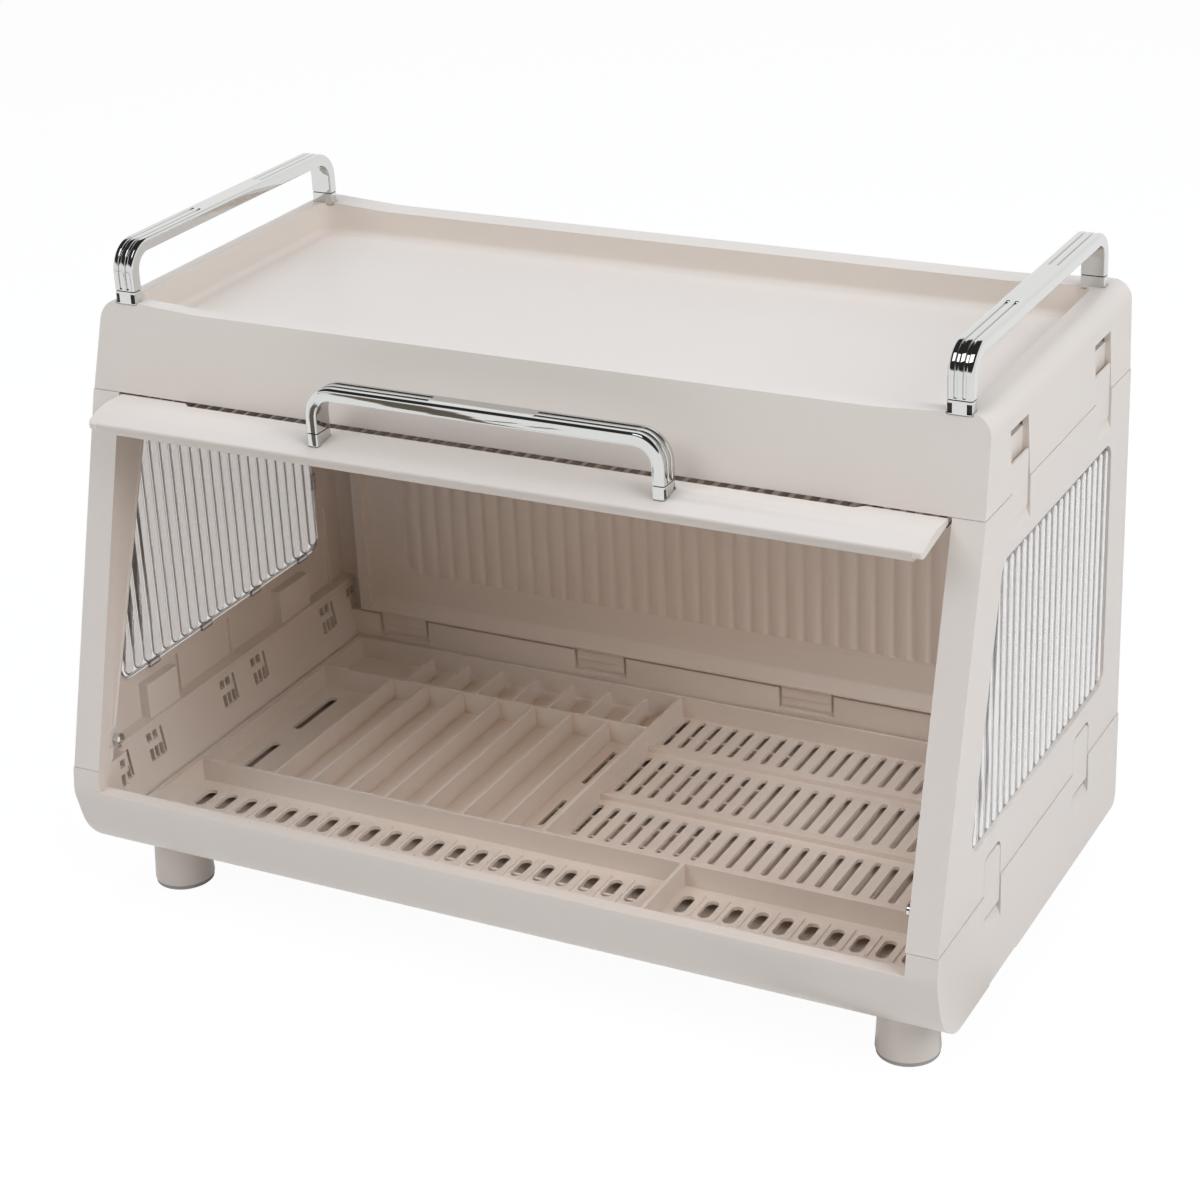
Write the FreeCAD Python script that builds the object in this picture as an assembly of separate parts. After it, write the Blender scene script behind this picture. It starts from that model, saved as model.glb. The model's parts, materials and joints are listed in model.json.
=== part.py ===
import FreeCAD, Part
import math
import os
from FreeCAD import Vector

# Overall sizes, in millimetres. X runs to the right, Y to the rear and Z up from the worktop,
# and the origin is the middle of the footprint. The front leans back as it rises.
LEAN = 0.286
SEAM_GAP = 0.3
TUB_BOTTOM_Z = 29.0
LOWER_SEAM_Z = 85.0
UPPER_SEAM_Z = 285.0
RIM_Z = 329.0
SEAT_Z = 331.5
FRONT_Y = -82.0
REAR_Y = 137.0
TUB_HALF_WIDTH = 251.0
PANEL_HALF_WIDTH = 250.4

# Base tub
TUB_FLOOR_Z = 32.0
TUB_INNER_HALF = 240.0
TUB_FLOOR_HALF = 232.0
TUB_BACK_Y = 126.0
TUB_BACK_TOP_Z = 68.3
LAND_Z = 73.0
POST_INNER_X = 234.0
COLUMN_X = 234.5
COLUMN_REAR_Y = -113.0
CHIN = [(-141.3, 71.0, 20.0), (-134.0, 44.0, 35.0), (-116.0, TUB_BOTTOM_Z, 25.0)]
CHIN_INSIDE = [(-133.0, 56.0, 18.0), (-116.0, TUB_FLOOR_Z, 12.0)]
SUMP = (-70.0, 78.0, -104.0, 105.0)
SUMP_DROP = 1.5
FLOOR_RIB_Y = (-96.0, -74.0, -22.0, -2.0, 40.0, 60.0, 104.0)
INSERT_BOTTOM_Z = 37.0
REST_GAP = 0.1

# Feet
FOOT_X = 218.5
FOOT_Y = (-94.4, 98.0)
FOOT_BOTTOM_R = 16.7
FOOT_TOP_R = 15.0
PAD_R = 16.2
PAD_THICKNESS = 2.0
SCREW_R = 2.0
SCREW_HEAD_R = 4.5

# End walls: a skin with a leaning post in front, a flange behind and a ledge below
SKIN = 2.5
SKIN_X = PANEL_HALF_WIDTH - SKIN
POST_WALL = 2.6
BEAD_LINE = (-122.2, 99.8, 0.3633)
BEAD_R = 2.0
PIVOT_NOTCH_Z = 274.0
REAR_FLANGE_X = 231.0
WINDOW_Z = (116.5, 255.5)
WINDOW_REAR_Y = 107.5
WINDOW_SET_BACK = 33.0
WINDOW_R = 9.0
SHEET = 2.0
BAR_PITCH = 9.0
BAR_WIDTH = 7.5
BAR_RISE = 2.2
CLIP_Y = (-66.0, -14.5, 36.5, 87.5)
CLIP_REAR_Z = 160.0
CLIP_WIDTH = 10.0
CLIP_REACH = 2.6
CLIP_DEPTH = 1.6
HOUSING_DEPTH = 6.0
HOUSING_TOP_Z = 108.4
RIB_DEPTH = 1.8
INSIDE_RIBS = ((-42.0, 111.2), (9.5, 111.2), (118.0, 138.0))
STUD_Y = -122.5
STUD_Z = 98.5
STUD_R = 3.2
STUD_REACH = 5.5
STUD_BOSS = 0.5

# Latch clips and hinges
LOWER_LATCH_Y = ((-76.0, -53.5), (59.0, 84.0))
LOWER_LATCH_Z = (62.0, 71.0, 104.0, 106.0)
UPPER_LATCH_Y = ((-45.0, -21.0), (80.0, 104.0))
UPPER_LATCH_Z = (264.0, 270.0, 299.0, 316.0)
LATCH_GAP = 0.4
LOWER_SCOOP = 3.4
UPPER_SCOOP = 1.8
HINGE_Y = (-113.0, -81.5, -9.0, 23.0, 99.0, 130.0)
BACK_HINGE_X = (-200.5, -64.0, 69.5, 200.5)
BACK_HINGE_HALF = 15.5

# Back panel
BACK_HALF = 230.0
BACK_FRONT_Y = 124.0
BACK_BOTTOM_Z = 70.5
LEDGE_REAR_Z = 77.5
FLUTE_HALF = 200.0
FLUTE_Z = (98.0, 266.0)
FLUTE_PITCH = 11.0
FLUTE_WIDTH = 9.4
FLUTE_RISE = 1.2
FLUTE_FIELD_R = 15.0

# Drain insert
INSERT_HALF = 231.5
INSERT_FLOOR = 2.0
INSERT_TOP_Z = 52.0
INSERT_WALL = 2.2
DIVIDER = 1.8
STRIP_Y = 79.0
PARTITION_X = -9.0
FRONT_WALL_Y = -52.0
CROSS_WALL_X = 76.0
LONG_DIVIDERS = (-181.4, 24.4, 7)
SHORT_DIVIDERS = (-173.0, 24.3, 7)
SHORT_DIVIDER_END_Y = 113.0
RIDGE_Y = (76.0, 15.0)
SLOTS = (-3.5, 10.35, 23)
SLOT_ROWS = ((86.0, 120.0), (25.0, 69.0), (-28.0, 8.0))
SLOT_WIDTH = 4.0
RIDGE_RISE = 0.9
LEFT_OVALS = (-216.0, 13.6, 21)
LEFT_OVAL_ROWS = ((-80.0, -62.0), (-102.0, -85.0))
RIGHT_OVALS = (84.5, 14.1, 10)
RIGHT_OVAL_ROW = (-79.5, -62.0)
OVAL_WIDTH = 7.0
BAY_SLOTS = ((-215.0, 6.0, 21.0, 65.0), (-215.0, 6.0, -33.0, 2.0),
             (-25.0, 3.0, 26.0, 67.0), (-25.0, 3.0, -26.0, 5.0))

# Top box
TOP_BOTTOM_Z = UPPER_SEAM_Z + SEAM_GAP
TOP_BOTTOM_HALF = 250.0
TOP_HALF = 248.0
TOP_REAR_Y = 141.0
TOP_EDGE_R = 10.5
CAVITY_HALF = 246.0
CAVITY_TOP_Z = 310.0
CAVITY_REAR_Y = 134.0
BOX_WALL = 3.1
TRAY_HALF = 233.0
TRAY_Y = (-60.0, 126.0)
TRAY_FLOOR_Z = 313.0
TRAY_R = 10.0
RIM_POCKET_TOP_Z = 326.0
TRAY_RIB_Z = 304.0

# Chrome handles
HANDLE_LENGTH = 200.0
HANDLE_HEIGHT = 32.4
HANDLE_WIDTH = 13.0
HANDLE_BAR = 6.8
HANDLE_R = 16.0
GROOVE_WIDTH = 1.3
GROOVE_DEPTH = 0.9
RIB_WIDTH = 3.0
HANDLE_PATCH = 58.0
HANDLE_FOOT = 7.6
HANDLE_X = 232.2
HANDLE_FRONT_Y = -69.5
HANDLE_SEAT_Z = 330.1

# Door: it hangs on a shaft with a roller at each end, in a track under the top box
PIVOT_Y = 100.5
PIVOT_Z = 281.0
DOOR_TRAVEL = 176.5
SHAFT_R = 2.0
SHAFT_PLAY = 0.05
RUNNER_R = 3.3
TRACK_X = (239.0, CAVITY_HALF)
TRACK_Z = (262.0, 309.9)
TRACK_Y = (-78.8, 107.0)
GROOVE_Z = (277.6, 284.4)
GROOVE_X = 244.1
TRACK_SCREW_Y = (-60.0, 5.0, 65.0)
TRACK_SCREW_Z = 295.0
PANEL_HALF = 231.5
PANEL_Z = (279.3, 281.1)
PANEL_FRONT_Y = -92.5
PANEL_REAR_Y = 97.0
REED_PITCH = 7.9
REED_WIDTH = 6.9
REED_RISE = 2.0
HINGE_RAIL_R = 3.6
HINGE_RAIL_Z = (277.8, 283.4)
HINGE_RAIL_Y = 87.5
LIP_HALF = 232.0
LIP_CORE_HALF = 226.5
LIP_BACKING_HALF = 226.0
LIP_REAR = (-82.0, 284.4)
LIP_CROWN = (-101.0, 284.7, 38.0)
LIP_TIP = (-113.5, 279.3)
LIP_FRONT_BOTTOM = (-109.5, 272.9)
LIP_REAR_BOTTOM = (-84.6, 271.8)
LIP_SEAM = (-111.6, 276.3)
LIP_STEP = [(-107.5, 276.3), (-103.6, 279.3)]
LIP_SKIN = 3.0
LIP_CUTOUT_HALF = 191.0
LIP_CUTOUT = 3.5
DOOR_HANDLE_Y = -100.6
DOOR_HANDLE_SEAT_Z = 282.4
CATCH_PLATE = 1.2


def box(x0, x1, y0, y1, z0, z1):
    """Block between two corners."""
    return Part.makeBox(x1 - x0, y1 - y0, z1 - z0, Vector(x0, y0, z0))


def in_space(plane, u, v, w):
    """Point with u and v in the named plane, and w along its normal."""
    return {"xy": Vector(u, v, w), "yx": Vector(v, u, w), "xz": Vector(u, w, v), "yz": Vector(w, u, v)}[plane]


def plate(corners, plane, low, high):
    """Solid with a flat outline, from low to high. A corner's third number is its radius."""
    turns = []
    for before, here, after in zip(corners[-1:] + corners[:-1], corners, corners[1:] + corners[:1]):
        corner = Vector(here[0], here[1], 0)
        radius = here[2] if len(here) > 2 else 0
        back = Vector(before[0], before[1], 0).sub(corner).normalize()
        ahead = Vector(after[0], after[1], 0).sub(corner).normalize()
        if not radius:
            turns.append((corner, None, corner))
            continue
        half_angle = back.getAngle(ahead) / 2
        reach = radius / math.tan(half_angle)
        inward = (back + ahead).normalize() * (radius / math.sin(half_angle) - radius)
        turns.append((corner + back * reach, corner + inward, corner + ahead * reach))

    def place(point):
        return in_space(plane, point.x, point.y, low)

    edges = []
    for (start, middle, end), following in zip(turns, turns[1:] + turns[:1]):
        if middle:
            edges.append(Part.Arc(place(start), place(middle), place(end)).toShape())
        if end.distanceToPoint(following[0]) > 1e-6:
            edges.append(Part.LineSegment(place(end), place(following[0])).toShape())
    return Part.Face(Part.Wire(edges)).extrude(in_space(plane, 0, 0, high - low))


def reeds(plane, first, pitch, count, width, base, rise, low, high, backing):
    """Row of half-round bars, side by side along u, on a backing that goes down from base."""
    end_gap = (pitch - width) / 2
    start_u = first - width / 2 - end_gap
    end_u = first + (count - 1) * pitch + width / 2 + end_gap
    edges = []
    point = in_space(plane, start_u, base, low)

    def line_to(target):
        edges.append(Part.LineSegment(point, target).toShape())
        return target

    for i in range(count):
        centre = first + i * pitch
        point = line_to(in_space(plane, centre - width / 2, base, low))
        crest = in_space(plane, centre, base + rise, low)
        far_side = in_space(plane, centre + width / 2, base, low)
        edges.append(Part.Arc(point, crest, far_side).toShape())
        point = far_side
    point = line_to(in_space(plane, end_u, base, low))
    point = line_to(in_space(plane, end_u, base - backing, low))
    point = line_to(in_space(plane, start_u, base - backing, low))
    line_to(in_space(plane, start_u, base, low))
    return Part.Face(Part.Wire(edges)).extrude(in_space(plane, 0, 0, high - low))


def slot(x, width, y0, y1, z0, z1):
    """Round-ended slot cutter that runs along Y."""
    r = width / 2
    return plate([(x - r, y0, r), (x + r, y0, r), (x + r, y1, r), (x - r, y1, r)], "xy", z0, z1)


def rod(radius, start, end):
    """Cylinder from one point to another."""
    along = Vector(*end).sub(Vector(*start))
    return Part.makeCylinder(radius, along.Length, Vector(*start), along)


def joined(first, *others):
    """One solid from pieces that meet or overlap."""
    return first.fuse(list(others)).removeSplitter()


def mirrored(shape):
    """The same piece on the other side."""
    return shape.mirror(Vector(0, 0, 0), Vector(1, 0, 0))


def both_sides(shapes):
    """Separate pieces on the right, and their mirror images on the left."""
    return Part.makeCompound(list(shapes) + [mirrored(shape) for shape in shapes])


def front_y(z):
    """Front face at a height."""
    return FRONT_Y + LEAN * (z - UPPER_SEAM_Z)


def foot_places():
    """Name and centre of each foot."""
    for side, x in (("left", -FOOT_X), ("right", FOOT_X)):
        for end, y in zip(("front", "rear"), FOOT_Y):
            yield f"foot_{end}_{side}", x, y


def hinge_windows(y):
    """Openings in the tub's inner wall round one hinge hook, on the right."""
    squares = [box(234, 243, y + a, y + a + 4.2, 77, 82) for a in (-6.8, -1.2)]
    tall = [box(234, 243, y + 5.8, y + 7.8, 66, 82)]
    low_row = [box(234, 243, y + a, y + a + 3.3, 65.5, 73) for a in (-6.8, -2.4, 2.0)]
    return squares + tall + (low_row if y < TUB_BACK_Y else [])


def scoop(face_x, depth, y0, y1, low, high):
    """Finger scoop in a wall: deepest under the latch tongue and running out below."""
    return plate([(face_x - depth, high), (face_x - depth, high - 2), (face_x, low),
                  (face_x + 2, low), (face_x + 2, high)], "xz", y0, y1)


def base_tub():
    """Bottom tub: curved chin, low front land, side walls that are hollow from below."""
    outline = ([(front_y(LOWER_SEAM_Z), LOWER_SEAM_Z)] + CHIN
               + [(REAR_Y, TUB_BOTTOM_Z, 8.0), (REAR_Y, LOWER_SEAM_Z)])
    tub = plate(outline, "yz", -TUB_HALF_WIDTH, TUB_HALF_WIDTH)

    above = LOWER_SEAM_Z + 5
    draft = (TUB_INNER_HALF - TUB_FLOOR_HALF) / (LOWER_SEAM_Z - TUB_FLOOR_Z)
    above_half = TUB_INNER_HALF + 5 * draft
    inside = plate([(-133.0, above)] + CHIN_INSIDE + [(TUB_BACK_Y, TUB_FLOOR_Z, 3.0), (TUB_BACK_Y, above)],
                   "yz", -above_half, above_half)
    wedge = plate([(-above_half, above), (-TUB_FLOOR_HALF, TUB_FLOOR_Z),
                   (TUB_FLOOR_HALF, TUB_FLOOR_Z), (above_half, above)], "xz", -150, 150)
    column = box(COLUMN_X, 252, -150, COLUMN_REAR_Y, 31, 95)
    inside = inside.common(wedge).cut([column, mirrored(column)])

    cuts = [inside,
            box(-COLUMN_X, COLUMN_X, -150, -131, LAND_Z, above),
            box(-TUB_INNER_HALF, TUB_INNER_HALF, TUB_BACK_Y - 1, 134.5, TUB_BACK_TOP_Z, above),
            box(-REAR_FLANGE_X, REAR_FLANGE_X, 134, 140, TUB_BACK_TOP_Z, above),
            box(-226, 226, 130.5, 134.5, 20, 67)]
    side_pocket = plate([(234.3, 20), (234.3, TUB_BOTTOM_Z), (242.3, 82), (248.4, 82), (248.4, 20)],
                        "xz", -118, 133.5)
    right = [side_pocket, box(246, 252, -67, -28, 20, TUB_BOTTOM_Z + 1)]
    for y0, y1 in LOWER_LATCH_Y:
        y0, y1 = y0 - LATCH_GAP, y1 + LATCH_GAP
        right.append(box(TUB_HALF_WIDTH - 3.2, 252, y0, y1, LOWER_LATCH_Z[1] - LATCH_GAP, above))
        right.append(scoop(TUB_HALF_WIDTH, LOWER_SCOOP, y0, y1, LOWER_LATCH_Z[0], LOWER_LATCH_Z[1]))
    for y in HINGE_Y:
        right.append(box(243.2, 247.7, y - 3, y + 3, 80, above))
        right.extend(hinge_windows(y))
    cuts += right + [mirrored(cutter) for cutter in right]
    for x in BACK_HINGE_X:
        half = BACK_HINGE_HALF
        cuts.append(box(x - half - 1.8, x + half + 1.8, TUB_BACK_Y - 1, TUB_BACK_Y + 2.5, 54.8, above))
    tub = tub.cut(cuts)

    x0, x1, y0, y1 = SUMP
    extras = [plate([(x0, TUB_BOTTOM_Z), (x0 + 3, TUB_BOTTOM_Z - SUMP_DROP),
                     (x1 - 3, TUB_BOTTOM_Z - SUMP_DROP), (x1, TUB_BOTTOM_Z)], "xz", y0, y1)]
    for y in FLOOR_RIB_Y:
        extras.append(box(x0 + 10, x1 - 8, y - 1, y + 1, TUB_FLOOR_Z, INSERT_BOTTOM_Z - REST_GAP))
    for name, x, y in foot_places():
        extras.append(rod(6, (x, y, TUB_FLOOR_Z), (x, y, 36)))
    holes = [rod(SCREW_R, (x, y, 20), (x, y, 40)) for name, x, y in foot_places()]
    return joined(tub, *extras).cut(holes)


def foot(x, y):
    """Tapered foot with a deep seat for its screw."""
    cone = Part.makeCone(FOOT_BOTTOM_R, FOOT_TOP_R, TUB_BOTTOM_Z - PAD_THICKNESS, Vector(x, y, PAD_THICKNESS))
    return cone.cut([rod(5.2, (x, y, 0), (x, y, 22)), rod(SCREW_R, (x, y, 20), (x, y, 30))])


def foot_pads():
    return Part.makeCompound([rod(PAD_R, (x, y, 0), (x, y, PAD_THICKNESS)) for name, x, y in foot_places()])


def screw(head_r, shank_r, head, seat, end):
    """Screw along a line: the head from head to seat, and the shank from seat to end."""
    return joined(rod(head_r, head, seat), rod(shank_r, seat, end))


def foot_screws():
    return Part.makeCompound([screw(SCREW_HEAD_R, SCREW_R, (x, y, 19), (x, y, 22), (x, y, 35.5))
                              for name, x, y in foot_places()])


def window_outline(grow):
    """Window opening in an end wall, made larger by grow all round."""
    low, high = WINDOW_Z[0] - grow, WINDOW_Z[1] + grow
    forward = WINDOW_SET_BACK - grow * math.hypot(1, LEAN)
    radius = WINDOW_R + grow
    return [(front_y(low) + forward, low, radius), (front_y(high) + forward, high, radius),
            (WINDOW_REAR_Y + grow, high, radius), (WINDOW_REAR_Y + grow, low, radius)]


def leaning_strip(depth_low, depth_high, x0, x1):
    """Strip along the leaning front face, with its depth at the lower and upper seams."""
    low, high = LOWER_SEAM_Z + SEAM_GAP, UPPER_SEAM_Z
    return plate([(front_y(low), low), (front_y(high), high),
                  (front_y(high) + depth_high, high), (front_y(low) + depth_low, low)], "yz", x0, x1)


def bead_y(z):
    """Rear edge of the post's inner wall at a height."""
    y, at_z, slope = BEAD_LINE
    return y + slope * (z - at_z)


def side_panel():
    """Right end wall."""
    low, high = LOWER_SEAM_Z + SEAM_GAP, UPPER_SEAM_Z
    skin = plate([(front_y(low), low), (front_y(high), high), (REAR_Y, high), (REAR_Y, low)],
                 "yz", SKIN_X, PANEL_HALF_WIDTH)
    post_front = leaning_strip(POST_WALL, POST_WALL, POST_INNER_X, PANEL_HALF_WIDTH)
    post_return = leaning_strip(bead_y(low) - front_y(low), bead_y(high) - front_y(high),
                                POST_INNER_X, POST_INNER_X + SKIN)
    bead_x = POST_INNER_X + 1.6
    bead = rod(BEAD_R, (bead_x, bead_y(low + 1.2), low + 1.2), (bead_x, bead_y(PIVOT_NOTCH_Z), PIVOT_NOTCH_Z))
    stud_boss = rod(6, (POST_INNER_X - STUD_BOSS, STUD_Y, STUD_Z), (POST_INNER_X + SKIN, STUD_Y, STUD_Z))
    ledge = box(239.5, SKIN_X, -110, 134.5, low, 88)
    rear_flange = box(REAR_FLANGE_X, SKIN_X, 134.5, REAR_Y, low, high)
    pieces = [post_front, post_return, bead, stud_boss, ledge, rear_flange]
    inner_x = SKIN_X - HOUSING_DEPTH
    for y0, y1 in LOWER_LATCH_Y:
        housing = box(inner_x, SKIN_X, y0 - 3, y1 + 3, 88, HOUSING_TOP_Z)
        pieces.append(housing.cut(box(inner_x + 2, SKIN_X, y0 - 1, y1 + 1, 80, HOUSING_TOP_Z - 2)))
    for y, top in INSIDE_RIBS:
        pieces.append(box(SKIN_X - RIB_DEPTH, SKIN_X, y - 0.8, y + 0.8, 88, top))
    panel = joined(skin, *pieces)

    cuts = [plate(window_outline(0), "yz", SKIN_X - 1, PANEL_HALF_WIDTH + 1),
            box(POST_INNER_X - 1, POST_INNER_X + 4, front_y(PIVOT_Z) + POST_WALL + 0.1, 0,
                PIVOT_NOTCH_Z, 290)]
    for y0, y1 in LOWER_LATCH_Y:
        cuts.append(plate([(y0 - LATCH_GAP, 80), (y1 + LATCH_GAP, 80), (y1 + LATCH_GAP, LOWER_LATCH_Z[3], 5),
                           (y0 - LATCH_GAP, LOWER_LATCH_Z[3], 5)], "yz", SKIN_X - 0.01, 252))
    for y0, y1 in UPPER_LATCH_Y:
        y0, y1 = y0 - LATCH_GAP, y1 + LATCH_GAP
        cuts.append(box(SKIN_X - 1, 252, y0, y1, UPPER_LATCH_Z[1] - LATCH_GAP, 290))
        cuts.append(scoop(PANEL_HALF_WIDTH, UPPER_SCOOP, y0, y1, UPPER_LATCH_Z[0], UPPER_LATCH_Z[1]))
    return panel.cut(cuts)


def side_window():
    """Right window: a clear sheet behind the opening, with half-round bars that fill it."""
    sheet = plate(window_outline(5), "yz", SKIN_X - SHEET, SKIN_X)
    count = int((WINDOW_REAR_Y - front_y(WINDOW_Z[0]) - WINDOW_SET_BACK) / BAR_PITCH)
    first = WINDOW_REAR_Y - 5 - BAR_PITCH * (count - 1)
    row = reeds("yx", first, BAR_PITCH, count, BAR_WIDTH, SKIN_X, BAR_RISE, 110, 262, 0.5)
    return joined(sheet, row.common(plate(window_outline(-1.5), "yz", SKIN_X - 0.5, 252)))


def window_clips():
    """Lugs inside the edge of the right window's sheet."""
    opening = window_outline(0)
    edge_z, edge_y = opening[0][1], opening[2][0]
    x0, x1 = SKIN_X - SHEET - CLIP_DEPTH, SKIN_X - SHEET
    half, reach = CLIP_WIDTH / 2, CLIP_REACH
    lugs = [box(x0, x1, y - half, y + half, edge_z - 1, edge_z + reach) for y in CLIP_Y]
    z = CLIP_REAR_Z
    return Part.makeCompound(lugs + [box(x0, x1, edge_y - reach, edge_y + 1, z - half, z + half)])


def hinge_hooks():
    """Hooks under the right end wall, in the tub's hollow side."""
    hooks = []
    for y in HINGE_Y:
        blade = box(244, 247, y - 2.8, y + 2.8, 71, LOWER_SEAM_Z + SEAM_GAP)
        hooks.append(joined(blade, rod(2.6, (245.5, y - 2.8, 71), (245.5, y + 2.8, 71))))
    return Part.makeCompound(hooks)


def latch_clip(y0, y1, z0, z1, x_out, flange_z0, flange_z1, top_r):
    """Press clip: a tongue in the wall's face and a flange behind the end wall's skin."""
    corner = (top_r,) if top_r else ()
    tongue = plate([(y0, z0), (y1, z0), (y1, z1) + corner, (y0, z1) + corner], "yz", SKIN_X, x_out)
    flange = box(SKIN_X - 1.3, SKIN_X, y0 - 0.9, y1 + 0.9, flange_z0, flange_z1)
    return joined(tongue, flange)


def base_latch_clips():
    low, high = LOWER_LATCH_Z[1:3]
    return both_sides([latch_clip(y0, y1, low, high, PANEL_HALF_WIDTH, 88, 106, 4)
                       for y0, y1 in LOWER_LATCH_Y])


def top_latch_clips():
    low, high = UPPER_LATCH_Z[1:3]
    return both_sides([latch_clip(y0, y1, low, high, TOP_HALF + 1.4, low, 284.5, 0)
                       for y0, y1 in UPPER_LATCH_Y])


def door_catch_studs():
    def at(x):
        return (x, STUD_Y, STUD_Z)
    tip = POST_INNER_X - STUD_REACH
    neck = rod(STUD_R - 0.8, at(tip + 1.5), at(POST_INNER_X - STUD_BOSS))
    head = rod(STUD_R, at(tip + 0.8), at(tip + 2.2))
    dome = Part.makeCone(STUD_R - 1, STUD_R, 0.8, Vector(*at(tip)), Vector(1, 0, 0))
    return both_sides([joined(neck, head, dome)])


def back_panel():
    """Rear wall: a thin fluted sheet inside a deeper frame."""
    top = UPPER_SEAM_Z - 0.3
    frame = box(-BACK_HALF, BACK_HALF, BACK_FRONT_Y, REAR_Y, BACK_BOTTOM_Z, top)
    inner_half = BACK_HALF - 7
    ledge_z = BACK_BOTTOM_Z + 1.4
    front_hollow = plate([(BACK_FRONT_Y - 1, ledge_z - 0.8), (131, LEDGE_REAR_Z, 3), (131, top - 8),
                          (BACK_FRONT_Y - 1, top - 8)], "yz", -inner_half, inner_half)
    rear_hollow = box(-inner_half, inner_half, 134, REAR_Y + 1, 76, top - 8)
    low, high = FLUTE_Z
    left, right, radius = -FLUTE_HALF, FLUTE_HALF, FLUTE_FIELD_R
    field = [(left, low, radius), (right, low, radius), (right, high, radius), (left, high, radius)]
    shallow = [plate(field, "xz", 130, 131.6), plate(field, "xz", 133.4, 135)]
    sheet = frame.cut([front_hollow, rear_hollow] + shallow)
    count = int(2 * FLUTE_HALF / FLUTE_PITCH)
    first = -FLUTE_PITCH * (count - 1) / 2
    row = reeds("xy", first, FLUTE_PITCH, count, FLUTE_WIDTH, 133.4, FLUTE_RISE, low, high, 0.2)
    front_row = row.mirror(Vector(0, 132.5, 0), Vector(0, 1, 0))
    trimmed = [flutes.common(plate(field, "xz", 125, 140)) for flutes in (row, front_row)]
    return joined(sheet, *trimmed)


def back_hinge_tabs():
    half = BACK_HINGE_HALF
    near, far = TUB_BACK_Y + 0.2, TUB_BACK_Y + 2.5
    section = [(near, 62.8), (near, BACK_BOTTOM_Z), (far, BACK_BOTTOM_Z), (far, 57.2), (near + 0.8, 57.2),
               (near + 0.8, 62.8)]
    return Part.makeCompound([plate(section, "yz", x - half, x + half) for x in BACK_HINGE_X])


def row_of(spec):
    """Positions first, first + pitch and so on."""
    first, pitch, count = spec
    return [first + i * pitch for i in range(count)]


def drain_insert():
    """Loose tray with bays on the left and slotted floors on the right and in front."""
    floor_z = INSERT_BOTTOM_Z + INSERT_FLOOR
    outer = plate([(-120.5, INSERT_TOP_Z), (-120.5, 45), (-112.5, INSERT_BOTTOM_Z),
                   (124, INSERT_BOTTOM_Z), (124, INSERT_TOP_Z)], "yz", -INSERT_HALF, INSERT_HALF)
    front, rear, half = -120.5 + INSERT_WALL, 124 - INSERT_WALL, INSERT_HALF - INSERT_WALL
    inner = plate([(front, 60), (front, 45.9), (-111.5, floor_z), (rear, floor_z), (rear, 60)],
                  "yz", -half, half)
    tray = outer.cut(inner)

    def wall(x0, x1, y0, y1, top=INSERT_TOP_Z):
        return box(x0, x1, y0, y1, floor_z - 0.5, top)

    thick, thin = INSERT_WALL / 2, DIVIDER / 2
    rim = box(-233.2, 233.2, -120.5, 124, 50, INSERT_TOP_Z).cut(box(-half, half, front, rear, 49, 60))
    walls = [rim,
             wall(-half, PARTITION_X, STRIP_Y - thick, STRIP_Y + thick),
             wall(PARTITION_X - thick, PARTITION_X + thick, FRONT_WALL_Y, rear),
             wall(-half, half, FRONT_WALL_Y - thick, FRONT_WALL_Y + thick),
             wall(CROSS_WALL_X - thick, CROSS_WALL_X + thick, front + 5, FRONT_WALL_Y),
             plate([(front, INSERT_TOP_Z), (front, 45), (-112, floor_z - 0.5), (-108, floor_z - 0.5),
                    (-108, INSERT_TOP_Z)], "yz", CROSS_WALL_X - thick, CROSS_WALL_X + thick)]
    walls += [wall(x - thin, x + thin, FRONT_WALL_Y, STRIP_Y) for x in row_of(LONG_DIVIDERS)]
    walls += [wall(x - thin, x + thin, STRIP_Y, SHORT_DIVIDER_END_Y) for x in row_of(SHORT_DIVIDERS)]
    walls += [wall(PARTITION_X, half, y - 1.2, y + 1.2, floor_z + 3) for y in RIDGE_Y]
    for ovals, y0, y1, half_ridge in ((LEFT_OVALS, -103.0, -60.0, 1.6), (RIGHT_OVALS, -81.0, -60.0, 0.7)):
        first, pitch, count = ovals
        walls += [wall(x - half_ridge, x + half_ridge, y0, y1, floor_z + RIDGE_RISE)
                  for x in row_of((first + pitch / 2, pitch, count - 1))]
    tray = joined(tray, *walls)

    low, high = INSERT_BOTTOM_Z - 1, floor_z + 1.5
    holes = [slot(x, SLOT_WIDTH, y0, y1, low, high) for x in row_of(SLOTS) for y0, y1 in SLOT_ROWS]
    holes += [slot(x, OVAL_WIDTH, y0, y1, low, high) for x in row_of(LEFT_OVALS) for y0, y1 in LEFT_OVAL_ROWS]
    holes += [slot(x, OVAL_WIDTH, *RIGHT_OVAL_ROW, low, high) for x in row_of(RIGHT_OVALS)]
    holes += [slot(x, width, y0, y1, low, high) for x, width, y0, y1 in BAY_SLOTS]
    return tray.cut(holes)


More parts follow.
